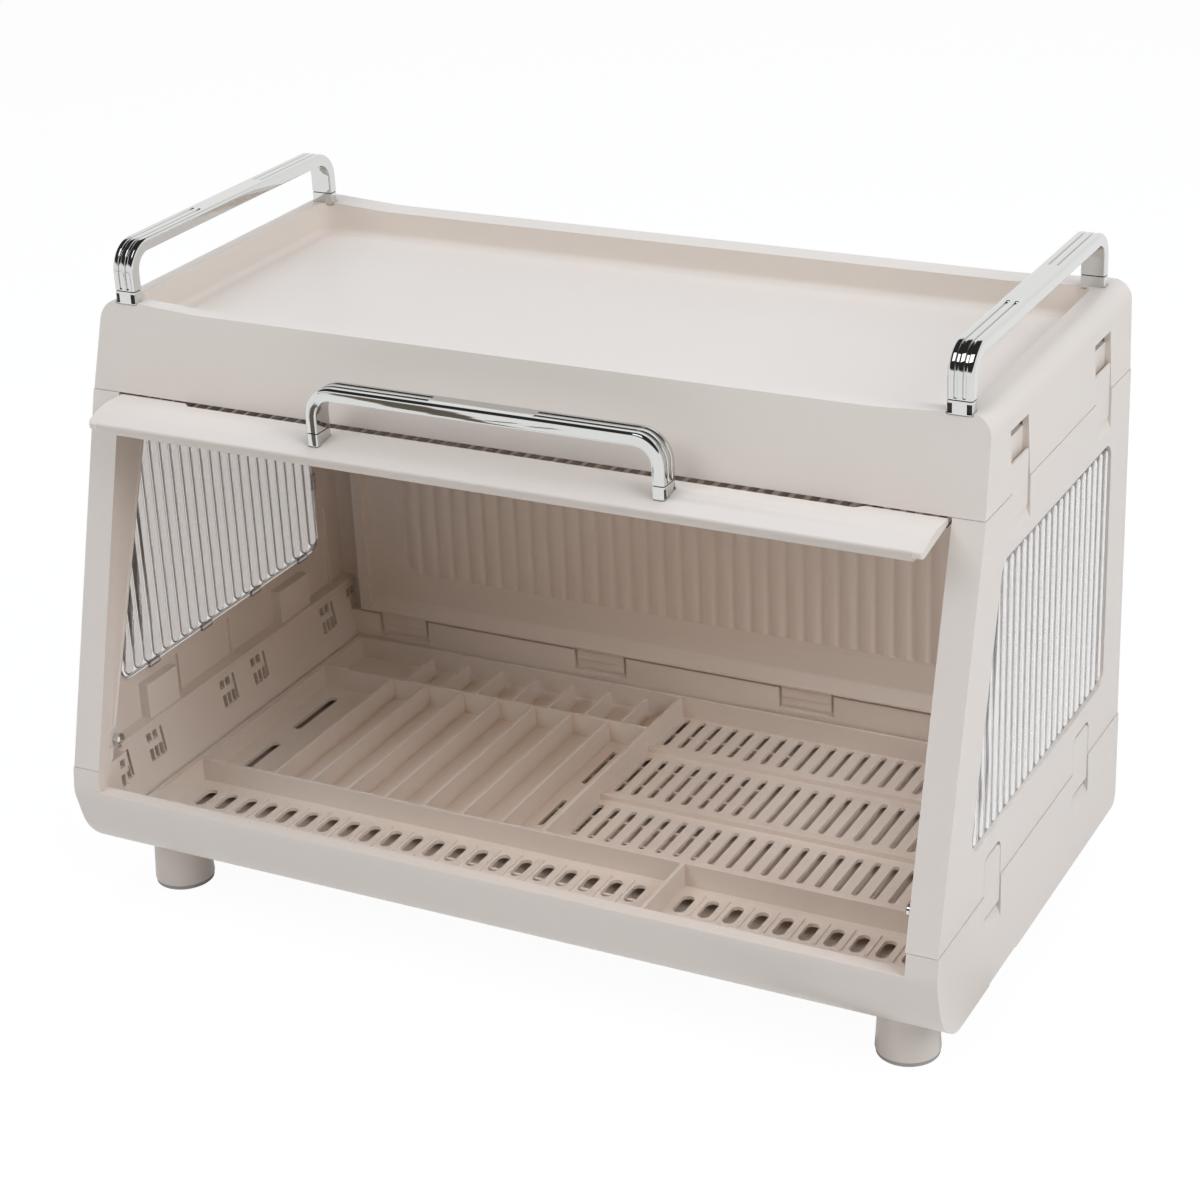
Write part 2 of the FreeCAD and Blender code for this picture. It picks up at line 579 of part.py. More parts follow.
def handle(hole_depth):
    """U handle along X with its feet at Z 0: two grooves leave three ribs on its outer face."""
    half, height, width = HANDLE_LENGTH / 2, HANDLE_HEIGHT, HANDLE_WIDTH

    def arch(inset, y0, y1, base):
        radius = max(HANDLE_R - inset, 1)
        return plate([(-half + inset, base), (-half + inset, height - inset, radius),
                      (half - inset, height - inset, radius), (half - inset, base)], "xz", y0, y1)

    solid = arch(0, -width / 2, width / 2, 0).cut(arch(HANDLE_BAR, -width, width, -1))
    kept = [box(-HANDLE_PATCH / 2, HANDLE_PATCH / 2, -width, width, 0, 50),
            box(-120, 120, -width, width, -5, HANDLE_FOOT)]
    cuts = []
    for side in (-1, 1):
        y0 = side * (RIB_WIDTH + GROOVE_WIDTH) / 2 - GROOVE_WIDTH / 2
        ring = arch(-1, y0, y0 + GROOVE_WIDTH, -1).cut(arch(GROOVE_DEPTH, -width, width, -2))
        cuts.append(ring.cut(kept))
        leg_x = side * (half - HANDLE_BAR / 2)
        cuts.append(rod(SCREW_R - 0.2, (leg_x, 0, -1), (leg_x, 0, hole_depth)))
    return solid.cut(cuts)


def handle_leg_y():
    """Centres of a top handle's two legs."""
    return HANDLE_FRONT_Y + HANDLE_BAR / 2, HANDLE_FRONT_Y + HANDLE_LENGTH - HANDLE_BAR / 2


def top_handle():
    """Right top handle, along Y on the corners of the tray's rim."""
    solid = handle(9)
    solid.rotate(Vector(0, 0, 0), Vector(0, 0, 1), 90)
    solid.translate(Vector(HANDLE_X, HANDLE_FRONT_Y + HANDLE_LENGTH / 2, HANDLE_SEAT_Z))
    return solid


def top_handle_screws():
    def at(y, z):
        return (HANDLE_X, y, z)
    seat = CAVITY_TOP_Z
    return both_sides([screw(3.6, SCREW_R - 0.2, at(y, seat - 2.5), at(y, seat), at(y, HANDLE_SEAT_Z + 8))
                       for y in handle_leg_y()])


def top_box():
    """Hollow top with a recessed tray, and seats for the handles on raised side rims."""
    rise = [(-232.0, SEAT_Z, 120.0), (-190.0, RIM_Z, 300.0), (190.0, RIM_Z, 300.0), (232.0, SEAT_Z, 120.0)]
    shell = plate([(-TOP_BOTTOM_HALF, TOP_BOTTOM_Z), (-TOP_HALF, SEAT_Z, TOP_EDGE_R)] + rise
                  + [(TOP_HALF, SEAT_Z, TOP_EDGE_R), (TOP_BOTTOM_HALF, TOP_BOTTOM_Z)], "xz", -150, 150)
    side_view = plate([(front_y(TOP_BOTTOM_Z), TOP_BOTTOM_Z), (front_y(340), 340),
                       (TOP_REAR_Y + 0.7, 340), (REAR_Y, TOP_BOTTOM_Z)], "yz", -260, 260)
    shell = shell.common(side_view)

    under = TOP_BOTTOM_Z - 1
    cavity = plate([(front_y(under) + BOX_WALL, under), (front_y(CAVITY_TOP_Z) + BOX_WALL, CAVITY_TOP_Z),
                    (CAVITY_REAR_Y, CAVITY_TOP_Z), (CAVITY_REAR_Y, under)], "yz", -CAVITY_HALF, CAVITY_HALF)
    tray = plate([(-TRAY_HALF, TRAY_Y[0], TRAY_R), (TRAY_HALF, TRAY_Y[0], TRAY_R),
                  (TRAY_HALF, TRAY_Y[1], TRAY_R), (-TRAY_HALF, TRAY_Y[1], TRAY_R)], "xy", TRAY_FLOOR_Z, 340)
    tray = tray.makeFillet(4.0, [edge for edge in tray.Edges if edge.BoundBox.ZMax < TRAY_FLOOR_Z + 0.1])

    pocket_low, pocket_high = CAVITY_TOP_Z - 1, RIM_POCKET_TOP_Z
    pockets = [plate([(front_y(pocket_low) + BOX_WALL, pocket_low),
                      (front_y(pocket_high) + BOX_WALL, pocket_high),
                      (TRAY_Y[0] - 3, pocket_high), (TRAY_Y[0] - 3, pocket_low)], "yz", -220, 220),
               box(-220, 220, TRAY_Y[1] + 3, 137, pocket_low, pocket_high),
               box(TRAY_HALF + 3, 245.5, -55, 118, pocket_low, pocket_high),
               box(-245.5, -TRAY_HALF - 3, -55, 118, pocket_low, pocket_high)]
    right = []
    for y0, y1 in UPPER_LATCH_Y:
        right.append(box(CAVITY_HALF - 1, 252, y0 - LATCH_GAP, y1 + LATCH_GAP, under, UPPER_LATCH_Z[3]))
    for y in handle_leg_y():
        half_foot = HANDLE_WIDTH / 2 + 0.1
        right.append(box(HANDLE_X - half_foot, HANDLE_X + half_foot, y - HANDLE_BAR / 2 - 0.1,
                         y + HANDLE_BAR / 2 + 0.1, HANDLE_SEAT_Z, 340))
        right.append(rod(SCREW_R - 0.2, (HANDLE_X, y, 300), (HANDLE_X, y, 340)))
    for y in TRACK_SCREW_Y:
        right.append(rod(1.6, (240, y, TRACK_SCREW_Z), (248, y, TRACK_SCREW_Z)))
    solid = shell.cut([cavity, tray] + pockets + right + [mirrored(cutter) for cutter in right])
    ribs = [box(x - 1, x + 1, -60, 130, TRAY_RIB_Z, CAVITY_TOP_Z + 1) for x in (-150, -50, 50, 150)]
    ribs += [box(-225, 225, y - 1, y + 1, TRAY_RIB_Z, CAVITY_TOP_Z + 1) for y in (-10, 70)]
    return joined(solid, *ribs)


def door_track():
    """Right track: a bar screwed inside the top box, with a groove for the runner."""
    low, high = TRACK_Z
    bar = plate([(TRACK_Y[0], low), (TRACK_Y[1], low), (TRACK_Y[1], high),
                 (front_y(high) + BOX_WALL + 0.3, high),
                 (TRACK_Y[0] + 0.3, UPPER_SEAM_Z)], "yz", *TRACK_X)
    groove = box(TRACK_X[0] - 1, GROOVE_X, -90, PIVOT_Y + RUNNER_R + 0.4, *GROOVE_Z)
    holes = [rod(1.6, (230, y, TRACK_SCREW_Z), (250, y, TRACK_SCREW_Z)) for y in TRACK_SCREW_Y]
    return bar.cut([groove] + holes)


def track_screws():
    def at(x, y):
        return (x, y, TRACK_SCREW_Z)
    screws = [screw(3.4, 1.6, at(TRACK_X[0] - 2, y), at(TRACK_X[0], y), at(248, y)) for y in TRACK_SCREW_Y]
    return both_sides(screws)


def pivot_shaft():
    end = GROOVE_X - 0.3
    return rod(SHAFT_R, (-end, PIVOT_Y, PIVOT_Z), (end, PIVOT_Y, PIVOT_Z))


def runner():
    def at(x):
        return (x, PIVOT_Y, PIVOT_Z)
    x0, x1 = TRACK_X[0] + 0.3, GROOVE_X - 0.3
    return rod(RUNNER_R, at(x0), at(x1)).cut(rod(SHAFT_R, at(x0 - 1), at(x1 + 1)))


def door_panel():
    """Clear sheet with reeds on the face that looks forward when the door is shut."""
    low, high = PANEL_Z
    step_y, half, narrow = -81.6, PANEL_HALF, LIP_CORE_HALF - 0.5
    sheet = plate([(-narrow, PANEL_FRONT_Y), (narrow, PANEL_FRONT_Y), (narrow, step_y), (half, step_y),
                   (half, PANEL_REAR_Y), (-half, PANEL_REAR_Y), (-half, step_y), (-narrow, step_y)],
                  "xy", low, high)
    count = int(2 * (half - 2) / REED_PITCH)
    first = -REED_PITCH * (count - 1) / 2
    row = reeds("xz", first, REED_PITCH, count, REED_WIDTH, high, REED_RISE, -90, HINGE_RAIL_Y - 0.5, 0.3)
    shown_y, hidden_y, cut_half = LIP_REAR[0] - LIP_CUTOUT + 0.2, LIP_REAR[0] + 0.3, LIP_CUTOUT_HALF
    field = plate([(-half, hidden_y), (-cut_half, hidden_y), (-cut_half + LIP_CUTOUT, shown_y),
                   (cut_half - LIP_CUTOUT, shown_y), (cut_half, hidden_y), (half, hidden_y),
                   (half, 100), (-half, 100)], "xy", high - 0.3, 290)
    return joined(sheet, row.common(field))


def door_hinge_rail():
    """Rail along the panel's rear edge: a jaw for the sheet and a barrel for the shaft."""
    def at(x):
        return (x, PIVOT_Y, PIVOT_Z)
    half = PANEL_HALF - 0.5
    jaw = box(-half, half, HINGE_RAIL_Y, PIVOT_Y, *HINGE_RAIL_Z)
    solid = joined(jaw, rod(HINGE_RAIL_R, at(-half), at(half)))
    sheet_slot = box(-half - 1, half + 1, HINGE_RAIL_Y - 1, PANEL_REAR_Y, *PANEL_Z)
    return solid.cut([sheet_slot, rod(SHAFT_R + SHAFT_PLAY, at(-half - 1), at(half + 1))])


def along_lip(distance, depth):
    """Point on the lip's section: distance forward from its rear edge, depth below its top face."""
    dy, dz = LIP_TIP[0] - LIP_REAR[0], LIP_TIP[1] - LIP_REAR[1]
    length = math.hypot(dy, dz)
    return (LIP_REAR[0] + (dy * distance - dz * depth) / length,
            LIP_REAR[1] + (dz * distance + dy * depth) / length)


def on_door_handle(solid):
    """Move a piece from the handle's own frame to its seat in the lip."""
    solid.translate(Vector(0, DOOR_HANDLE_Y, DOOR_HANDLE_SEAT_Z))
    return solid


def door_handle_bores():
    leg_x = HANDLE_LENGTH / 2 - HANDLE_BAR / 2
    return [on_door_handle(rod(SCREW_R - 0.2, (x, 0, -6), (x, 0, 8))) for x in (-leg_x, leg_x)]


def door_lip():
    """Outer half of the lip: full depth between its ends, only a skin beyond them."""
    length = math.hypot(LIP_TIP[0] - LIP_REAR[0], LIP_TIP[1] - LIP_REAR[1])
    core = plate([LIP_REAR, LIP_CROWN, LIP_TIP + (1.2,), LIP_SEAM] + LIP_STEP + [
                  (PANEL_FRONT_Y, PANEL_Z[0]), (PANEL_FRONT_Y, PANEL_Z[1]), (LIP_REAR[0] - 0.7, PANEL_Z[1])],
                 "yz", -LIP_CORE_HALF, LIP_CORE_HALF)
    skin = plate([LIP_REAR, LIP_CROWN, LIP_TIP + (1.2,), along_lip(length, LIP_SKIN), along_lip(0, LIP_SKIN)],
                 "yz", LIP_CORE_HALF, LIP_HALF)
    y0, y1 = LIP_TIP[0], -75
    plan = plate([(-LIP_HALF, y0, 2.5), (LIP_HALF, y0, 2.5), (LIP_HALF, y1), (-LIP_HALF, y1)], "xy", 260, 300)
    rear, cut_half = LIP_REAR[0], LIP_CUTOUT_HALF
    cutout = plate([(-cut_half, rear + 1), (-cut_half, rear), (-cut_half + LIP_CUTOUT, rear - LIP_CUTOUT),
                    (cut_half - LIP_CUTOUT, rear - LIP_CUTOUT), (cut_half, rear), (cut_half, rear + 1)],
                   "xy", 260, 300)
    half_foot = HANDLE_WIDTH / 2 + 0.1
    leg_x = HANDLE_LENGTH / 2 - HANDLE_BAR / 2
    seats = [box(x - HANDLE_BAR / 2 - 0.1, x + HANDLE_BAR / 2 + 0.1, DOOR_HANDLE_Y - half_foot,
                 DOOR_HANDLE_Y + half_foot, DOOR_HANDLE_SEAT_Z, 300) for x in (-leg_x, leg_x)]
    cuts = [cutout] + seats + door_handle_bores()
    return joined(core, skin, mirrored(skin)).common(plan).cut(cuts)


def door_lip_backing():
    """Inner half of the lip, hollow from above."""
    half = LIP_BACKING_HALF
    solid = plate([LIP_REAR_BOTTOM, LIP_FRONT_BOTTOM, LIP_SEAM] + LIP_STEP + [(-83.2, PANEL_Z[0])],
                  "yz", -half, half)
    hollow = plate([(-87, 274), (-103.6, 274.8), (-103.6, 285), (-87, 285)], "yz", -half + 2, half - 2)
    return solid.cut(hollow)


def door_handle():
    return on_door_handle(handle(8))


def door_handle_screws():
    leg_x = HANDLE_LENGTH / 2 - HANDLE_BAR / 2
    under = PANEL_Z[0] - DOOR_HANDLE_SEAT_Z
    screws = [screw(2.6, SCREW_R - 0.2, (x, 0, under - 2.2), (x, 0, under), (x, 0, 7)) for x in (-leg_x, leg_x)]
    return on_door_handle(Part.makeCompound(screws))


def door_catch_plates():
    """Strike plates under the lip's thin ends, where they meet the studs."""
    section = [along_lip(4, LIP_SKIN), along_lip(13, LIP_SKIN),
               along_lip(13, LIP_SKIN + CATCH_PLATE), along_lip(4, LIP_SKIN + CATCH_PLATE)]
    return both_sides([plate(section, "yz", LIP_CORE_HALF + 0.3, LIP_HALF - 0.7)])


def in_pairs(name, solid):
    """Left and right pieces of one design."""
    return {f"{name}_right": solid, f"{name}_left": mirrored(solid)}


nodes = {"base_tub": base_tub(), "foot_pads": foot_pads(), "foot_screws": foot_screws()}
for name, x, y in foot_places():
    nodes[name] = foot(x, y)
nodes.update(in_pairs("side_panel", side_panel()))
nodes.update(in_pairs("side_window", side_window()))
nodes.update(in_pairs("window_clips", window_clips()))
nodes.update(in_pairs("hinge_hooks", hinge_hooks()))
nodes.update({"base_latch_clips": base_latch_clips(), "top_latch_clips": top_latch_clips(),
              "door_catch_studs": door_catch_studs(), "back_panel": back_panel(),
              "back_hinge_tabs": back_hinge_tabs(), "drain_insert": drain_insert(),
              "top_box": top_box(), "top_handle_screws": top_handle_screws(), "track_screws": track_screws()})
nodes.update(in_pairs("top_handle", top_handle()))
nodes.update(in_pairs("door_track", door_track()))
nodes.update(in_pairs("runner", runner()))
nodes.update({"pivot_shaft": pivot_shaft(), "door_panel": door_panel(), "door_hinge_rail": door_hinge_rail(),
              "door_lip": door_lip(), "door_lip_backing": door_lip_backing(), "door_handle": door_handle(),
              "door_handle_screws": door_handle_screws(), "door_catch_plates": door_catch_plates()})

os.makedirs("parts", exist_ok=True)
whole = FreeCAD.BoundBox()
for name in sorted(nodes):
    shape = nodes[name]
    whole.add(shape.BoundBox)
    shape.exportStep(f"parts/{name}.step")
    print(f"{name}: {len(shape.Solids)} solids, {shape.Volume / 1000:.1f} cm3, valid {shape.isValid()}")
print(f"size {whole.XLength:.1f} x {whole.YLength:.1f} x {whole.ZLength:.1f} mm,"
      f" from {whole.XMin:.1f} {whole.YMin:.1f} {whole.ZMin:.1f}")
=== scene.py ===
# %% [markdown]
# A covered dish drainer stands on a pale floor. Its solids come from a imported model, which
# fixes every size and place, so this script only gives them their finish: rounded moulded
# edges, clear reeded windows, chrome handles, light and a camera.

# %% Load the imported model
import json
import math

import bmesh
import bpy
from mathutils import Matrix, Vector

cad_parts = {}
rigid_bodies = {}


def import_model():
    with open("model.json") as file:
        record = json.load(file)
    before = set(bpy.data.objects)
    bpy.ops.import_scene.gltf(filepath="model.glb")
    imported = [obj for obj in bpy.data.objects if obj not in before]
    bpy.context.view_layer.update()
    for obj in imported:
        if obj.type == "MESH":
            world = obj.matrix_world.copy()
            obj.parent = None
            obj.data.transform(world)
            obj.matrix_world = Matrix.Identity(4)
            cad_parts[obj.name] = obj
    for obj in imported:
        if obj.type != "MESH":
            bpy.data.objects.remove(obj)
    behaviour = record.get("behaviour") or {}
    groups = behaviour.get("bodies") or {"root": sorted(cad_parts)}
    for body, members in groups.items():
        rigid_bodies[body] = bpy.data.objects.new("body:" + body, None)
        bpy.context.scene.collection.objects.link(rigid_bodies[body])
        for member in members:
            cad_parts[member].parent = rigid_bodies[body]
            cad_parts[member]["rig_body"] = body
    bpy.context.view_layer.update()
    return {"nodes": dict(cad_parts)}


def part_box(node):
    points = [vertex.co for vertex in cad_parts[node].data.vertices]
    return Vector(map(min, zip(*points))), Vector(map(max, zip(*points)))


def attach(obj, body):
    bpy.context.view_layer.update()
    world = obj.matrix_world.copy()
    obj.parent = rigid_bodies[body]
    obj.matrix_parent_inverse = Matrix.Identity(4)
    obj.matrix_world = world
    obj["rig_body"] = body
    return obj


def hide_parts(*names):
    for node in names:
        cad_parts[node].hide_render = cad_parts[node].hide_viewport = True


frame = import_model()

nodes = frame["nodes"]
MM = 0.001
print("pieces from the model:", len(nodes))

# %% [markdown]
# The camera is described as a photographer would: where it stands, how far it is turned,
# tilted and rolled, and its focal length. Three unit vectors made from the angles are the
# columns of its rotation matrix. This keeps the viewpoint readable and easy to adjust.

# %% Camera
CAMERA_PLACE = Vector((0.6380, -1.1776, 0.7803))
CAMERA_YAW = math.radians(28.244)
CAMERA_PITCH = math.radians(24.552)
CAMERA_ROLL = math.radians(-2.694)
FOCAL_LENGTH = 82.54


def camera_axes(yaw, pitch, roll):
    """Right, up and forward of a camera turned left by yaw and tilted down by pitch."""
    forward = Vector((-math.sin(yaw) * math.cos(pitch), math.cos(yaw) * math.cos(pitch), -math.sin(pitch)))
    level = Vector((math.cos(yaw), math.sin(yaw), 0))
    upright = level.cross(forward)
    right = level * math.cos(roll) + upright * math.sin(roll)
    return right, right.cross(forward), forward


right, up, forward = camera_axes(CAMERA_YAW, CAMERA_PITCH, CAMERA_ROLL)
camera = bpy.data.objects.new("camera", bpy.data.cameras.new("camera"))
camera.data.lens = FOCAL_LENGTH
camera.data.sensor_width = 36
camera.matrix_world = Matrix.Translation(CAMERA_PLACE) @ Matrix((right, up, -forward)).transposed().to_4x4()
bpy.context.scene.collection.objects.link(camera)
bpy.context.scene.camera = camera
bpy.context.scene.view_settings.view_transform = "Standard"

# %% [markdown]
# A material is a small network of nodes. Writing each link by hand is slow to read, so this
# helper makes a node, sets its inputs by name and links any socket that it is given.

# %% Node helper


def add_node(tree, kind, inputs=None, **settings):
    """New node in a tree. An input may be a value, or another node's output socket."""
    node = tree.nodes.new(kind)
    for name, value in settings.items():
        setattr(node, name, value)
    for name, value in (inputs or {}).items():
        socket = node.inputs[name]
        if isinstance(value, bpy.types.NodeSocket):
            tree.links.new(value, socket)
        else:
            socket.default_value = value
    return node


def math_node(tree, operation, *values, **settings):
    """Output socket of a Math node whose values are numbers or sockets."""
    node = add_node(tree, "ShaderNodeMath", dict(enumerate(values)), operation=operation, **settings)
    return node.outputs[0]


def new_group(name, kind, inputs, outputs):
    """Node group with named sockets, each given as name: (type, default)."""
    tree = bpy.data.node_groups.new(name, kind)
    for label, (socket_type, value) in inputs.items():
        socket = tree.interface.new_socket(label, in_out="INPUT", socket_type=socket_type)
        if value is not None:
            socket.default_value = value
    for label, socket_type in outputs.items():
        tree.interface.new_socket(label, in_out="OUTPUT", socket_type=socket_type)
    return tree, tree.nodes.new("NodeGroupInput").outputs, tree.nodes.new("NodeGroupOutput")


# %% [markdown]
# Moulded plastic is never one flat colour. It has faint clouds of shade from the flow of the
# melt, a fine grain from the etched mould, and roughness that wanders a little. All of the
# plastics here share these, so they are one node group, and each material sets its own scale.

# %% Moulded surface group


def moulded_surface_group():
    """Shade, roughness and height of a moulded skin, from Object coordinates."""
    tree, given, out = new_group(
        "moulded_surface", "ShaderNodeTree",
        {"Vector": ("NodeSocketVector", None), "Color": ("NodeSocketColor", (0.8, 0.8, 0.8, 1)),
         "Cloud Scale": ("NodeSocketFloat", 9.0), "Cloud Depth": ("NodeSocketFloat", 0.03),
         "Grain Scale": ("NodeSocketFloat", 2500.0), "Roughness": ("NodeSocketFloat", 0.4),
         "Roughness Spread": ("NodeSocketFloat", 0.06)},
        {"Color": "NodeSocketColor", "Roughness": "NodeSocketFloat", "Height": "NodeSocketFloat"})
    clouds = add_node(tree, "ShaderNodeTexNoise", {"Vector": given["Vector"], "Scale": given["Cloud Scale"],
                                                   "Detail": 3.0, "Roughness": 0.5})
    centred = math_node(tree, "SUBTRACT", clouds.outputs["Fac"], 0.5)
    shade = math_node(tree, "MULTIPLY_ADD", centred, given["Cloud Depth"], 1.0)
    tinted = add_node(tree, "ShaderNodeVectorMath", {0: given["Color"], "Scale": shade}, operation="SCALE")
    patches = add_node(tree, "ShaderNodeTexNoise", {"Vector": given["Vector"], "Scale": 40.0, "Detail": 4.0})
    wander = math_node(tree, "SUBTRACT", patches.outputs["Fac"], 0.5)
    rough = math_node(tree, "MULTIPLY_ADD", wander, given["Roughness Spread"], given["Roughness"])
    grain = add_node(tree, "ShaderNodeTexNoise", {"Vector": given["Vector"], "Scale": given["Grain Scale"],
                                                  "Detail": 2.0})
    tree.links.new(tinted.outputs[0], out.inputs["Color"])
    tree.links.new(rough, out.inputs["Roughness"])
    tree.links.new(grain.outputs["Fac"], out.inputs["Height"])
    return tree


MOULDED = moulded_surface_group()


def surface_material(name, color, bump, group_inputs, waves=0, **shader):
    """Principled material whose colour, roughness and bump come from the moulded group.
    Waves is the depth of slow dents in the surface, which only show in a mirror finish."""
    material = bpy.data.materials.new(name)
    material.use_nodes = True
    tree = material.node_tree
    principled = tree.nodes["Principled BSDF"]
    place = tree.nodes.new("ShaderNodeTexCoord")
    group = add_node(tree, "ShaderNodeGroup", node_tree=MOULDED)
    tree.links.new(place.outputs["Object"], group.inputs["Vector"])
    group.inputs["Color"].default_value = (*color, 1)
    for label, value in group_inputs.items():
        group.inputs[label].default_value = value
    bumped = add_node(tree, "ShaderNodeBump", {"Height": group.outputs["Height"], "Strength": 1.0,
                                               "Distance": bump})
    if waves:
        dents = add_node(tree, "ShaderNodeTexNoise", {"Vector": place.outputs["Object"], "Scale": 34.0,
                                                      "Detail": 1.0})
        dented = add_node(tree, "ShaderNodeBump", {"Height": dents.outputs["Fac"], "Strength": 1.0,
                                                   "Distance": waves})
        tree.links.new(dented.outputs["Normal"], bumped.inputs["Normal"])
    tree.links.new(group.outputs["Color"], principled.inputs["Base Color"])
    tree.links.new(group.outputs["Roughness"], principled.inputs["Roughness"])
    tree.links.new(bumped.outputs["Normal"], principled.inputs["Normal"])
    for label, value in shader.items():
        principled.inputs[label.replace("_", " ")].default_value = value
    return material


# %% [markdown]
# The body is a warm off-white plastic with a satin skin. The windows and the door are clear
# plastic. Handles are chrome plate, and small hidden parts are zinc steel, rubber and nylon.

# %% Finishes
CREAM = (0.81, 0.70, 0.60)
cream = surface_material("cream_plastic", CREAM, 4e-6, {"Roughness": 0.42})
cream_insert = surface_material("cream_insert", CREAM, 6e-6, {"Roughness": 0.5, "Cloud Scale": 14.0})
clear = surface_material("clear_plastic", (0.86, 0.84, 0.825), 2e-6,
                         {"Roughness": 0.04, "Cloud Depth": 0.01, "Roughness Spread": 0.02},
                         Transmission_Weight=0.94, IOR=1.49)
chrome = surface_material("chrome", (0.67, 0.675, 0.66), 1e-6,
                          {"Roughness": 0.04, "Roughness Spread": 0.02, "Cloud Depth": 0.01,
                           "Grain Scale": 400.0}, waves=5e-5, Metallic=1.0)
steel = surface_material("zinc_steel", (0.55, 0.55, 0.56), 3e-6, {"Roughness": 0.32, "Cloud Depth": 0.1},
                         Metallic=1.0)
rubber = surface_material("foot_rubber", (0.46, 0.42, 0.39), 8e-6, {"Roughness": 0.75})
nylon = surface_material("runner_nylon", (0.82, 0.81, 0.78), 2e-6, {"Roughness": 0.3})
# Painted shade: a near-black finish for the handles' notches, slits and seats, where shadow falls.
painted_gap_shade = surface_material("painted_gap_shade", (0.02, 0.017, 0.014), 1e-6, {"Roughness": 0.6})

# %% [markdown]
# A node's mesh is made of loose triangles with knife-sharp edges. Real moulded edges are
# rounded, and the thin bright line along them is much of what makes plastic look real. So
# each plastic node is copied, its doubles are merged, its flat areas are joined again, and a
# Bevel modifier rounds what is sharp. The copy then stands for the node.

# %% Moulded copies of the solids
CREASE = math.radians(32)


def bare_copy(node, name):
    """Object with a merged copy of a node's mesh."""
    work = bmesh.new()
    work.from_mesh(nodes[node].data)
    bmesh.ops.remove_doubles(work, verts=work.verts, dist=2e-6)
    bmesh.ops.dissolve_limit(work, angle_limit=math.radians(0.8), verts=work.verts, edges=work.edges,
                             delimit=set())
    mesh = bpy.data.meshes.new(name)
    work.to_mesh(mesh)
    work.free()
    made = bpy.data.objects.new(name, mesh)
    bpy.context.scene.collection.objects.link(made)
    return made


def dress(made, material, body, slot, *replaced):
    """Give a piece its material and body, and hide the nodes that it stands for. The slot
    argument is not used. A piece that already has its materials gets None."""
    if material:
        made.data.materials.clear()
        made.data.materials.append(material)
    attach(made, body)
    if replaced:
        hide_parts(*replaced)
    return made


def soften(made, radius, segments=2):
    """Rounded edges and smooth shading."""
    for polygon in made.data.polygons:
        polygon.use_smooth = True
    made.data.set_sharp_from_angle(angle=CREASE)
    bevel = made.modifiers.new("rounded_edges", "BEVEL")
    bevel.width = radius
    bevel.segments = segments
    bevel.limit_method = "ANGLE"
    bevel.angle_limit = CREASE
    bevel.use_clamp_overlap = True
    bevel.harden_normals = True
    return made


def body_of_node(node):
    """Name of the body that a node belongs to."""
    return nodes[node]["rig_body"]


def moulded(node, radius, material, slot):
    """Rounded copy that stands for a node."""
    made = soften(bare_copy(node, node + "_moulded"), radius)
    return dress(made, material, body_of_node(node), slot, node)


EDGE_RADIUS = {"base_tub": 0.5, "side_panel_left": 0.4, "side_panel_right": 0.4, "back_panel": 0.4,
               "top_box": 0.6, "drain_insert": 0.3, "door_lip": 0.5, "door_lip_backing": 0.4,
               "base_latch_clips": 0.4, "top_latch_clips": 0.4, "foot_front_left": 0.6,
               "foot_front_right": 0.6, "foot_rear_left": 0.6, "foot_rear_right": 0.6,
               "back_hinge_tabs": 0.3, "window_clips_left": 0.3, "window_clips_right": 0.3,
               "door_track_left": 0.4, "door_track_right": 0.4, "door_hinge_rail": 0.3}
OTHER_FINISH = {"window_clips_left": (clear, "clear_plastic"), "window_clips_right": (clear, "clear_plastic"),
                "drain_insert": (cream_insert, "cream_plastic")}
for node, radius in EDGE_RADIUS.items():
    piece = moulded(node, radius * MM, *OTHER_FINISH.get(node, (cream, "cream_plastic")))
    print(node, len(piece.data.polygons), "faces before rounding")

# %% [markdown]
# Small parts keep their own shape and only need a finish.

# %% Small parts
SMALL_PARTS = {"foot_pads": (rubber, "foot_rubber"), "foot_screws": (steel, "steel"),
               "top_handle_screws": (steel, "steel"), "track_screws": (steel, "steel"),
               "door_handle_screws": (steel, "steel"), "pivot_shaft": (steel, "steel"),
               "door_catch_plates": (steel, "steel"), "door_catch_studs": (chrome, "chrome"),
               "runner_left": (nylon, "runner_plastic"), "runner_right": (nylon, "runner_plastic"),
               "hinge_hooks_left": (cream, "cream_plastic"), "hinge_hooks_right": (cream, "cream_plastic")}
for node, (material, slot) in SMALL_PARTS.items():
    nodes[node].data.materials.clear()
    nodes[node].data.materials.append(material)

# %% [markdown]
# The windows and the door are clear sheets with rows of half-round bars. A row is one bar
# repeated, which is what Geometry Nodes are for. Each bar must reach its own length without
# its rounded ends being stretched, so the bar's points carry a number "end", 0 at one end and
# 1 at the other. The tree places a copy at each point of the row, makes the copies real, and
# slides each end to where that point's "low" and "high" numbers say.

# %% One bar


def new_object(name, mesh):
    """Object in the scene for a mesh."""
    made = bpy.data.objects.new(name, mesh)
    bpy.context.scene.collection.objects.link(made)
    return made


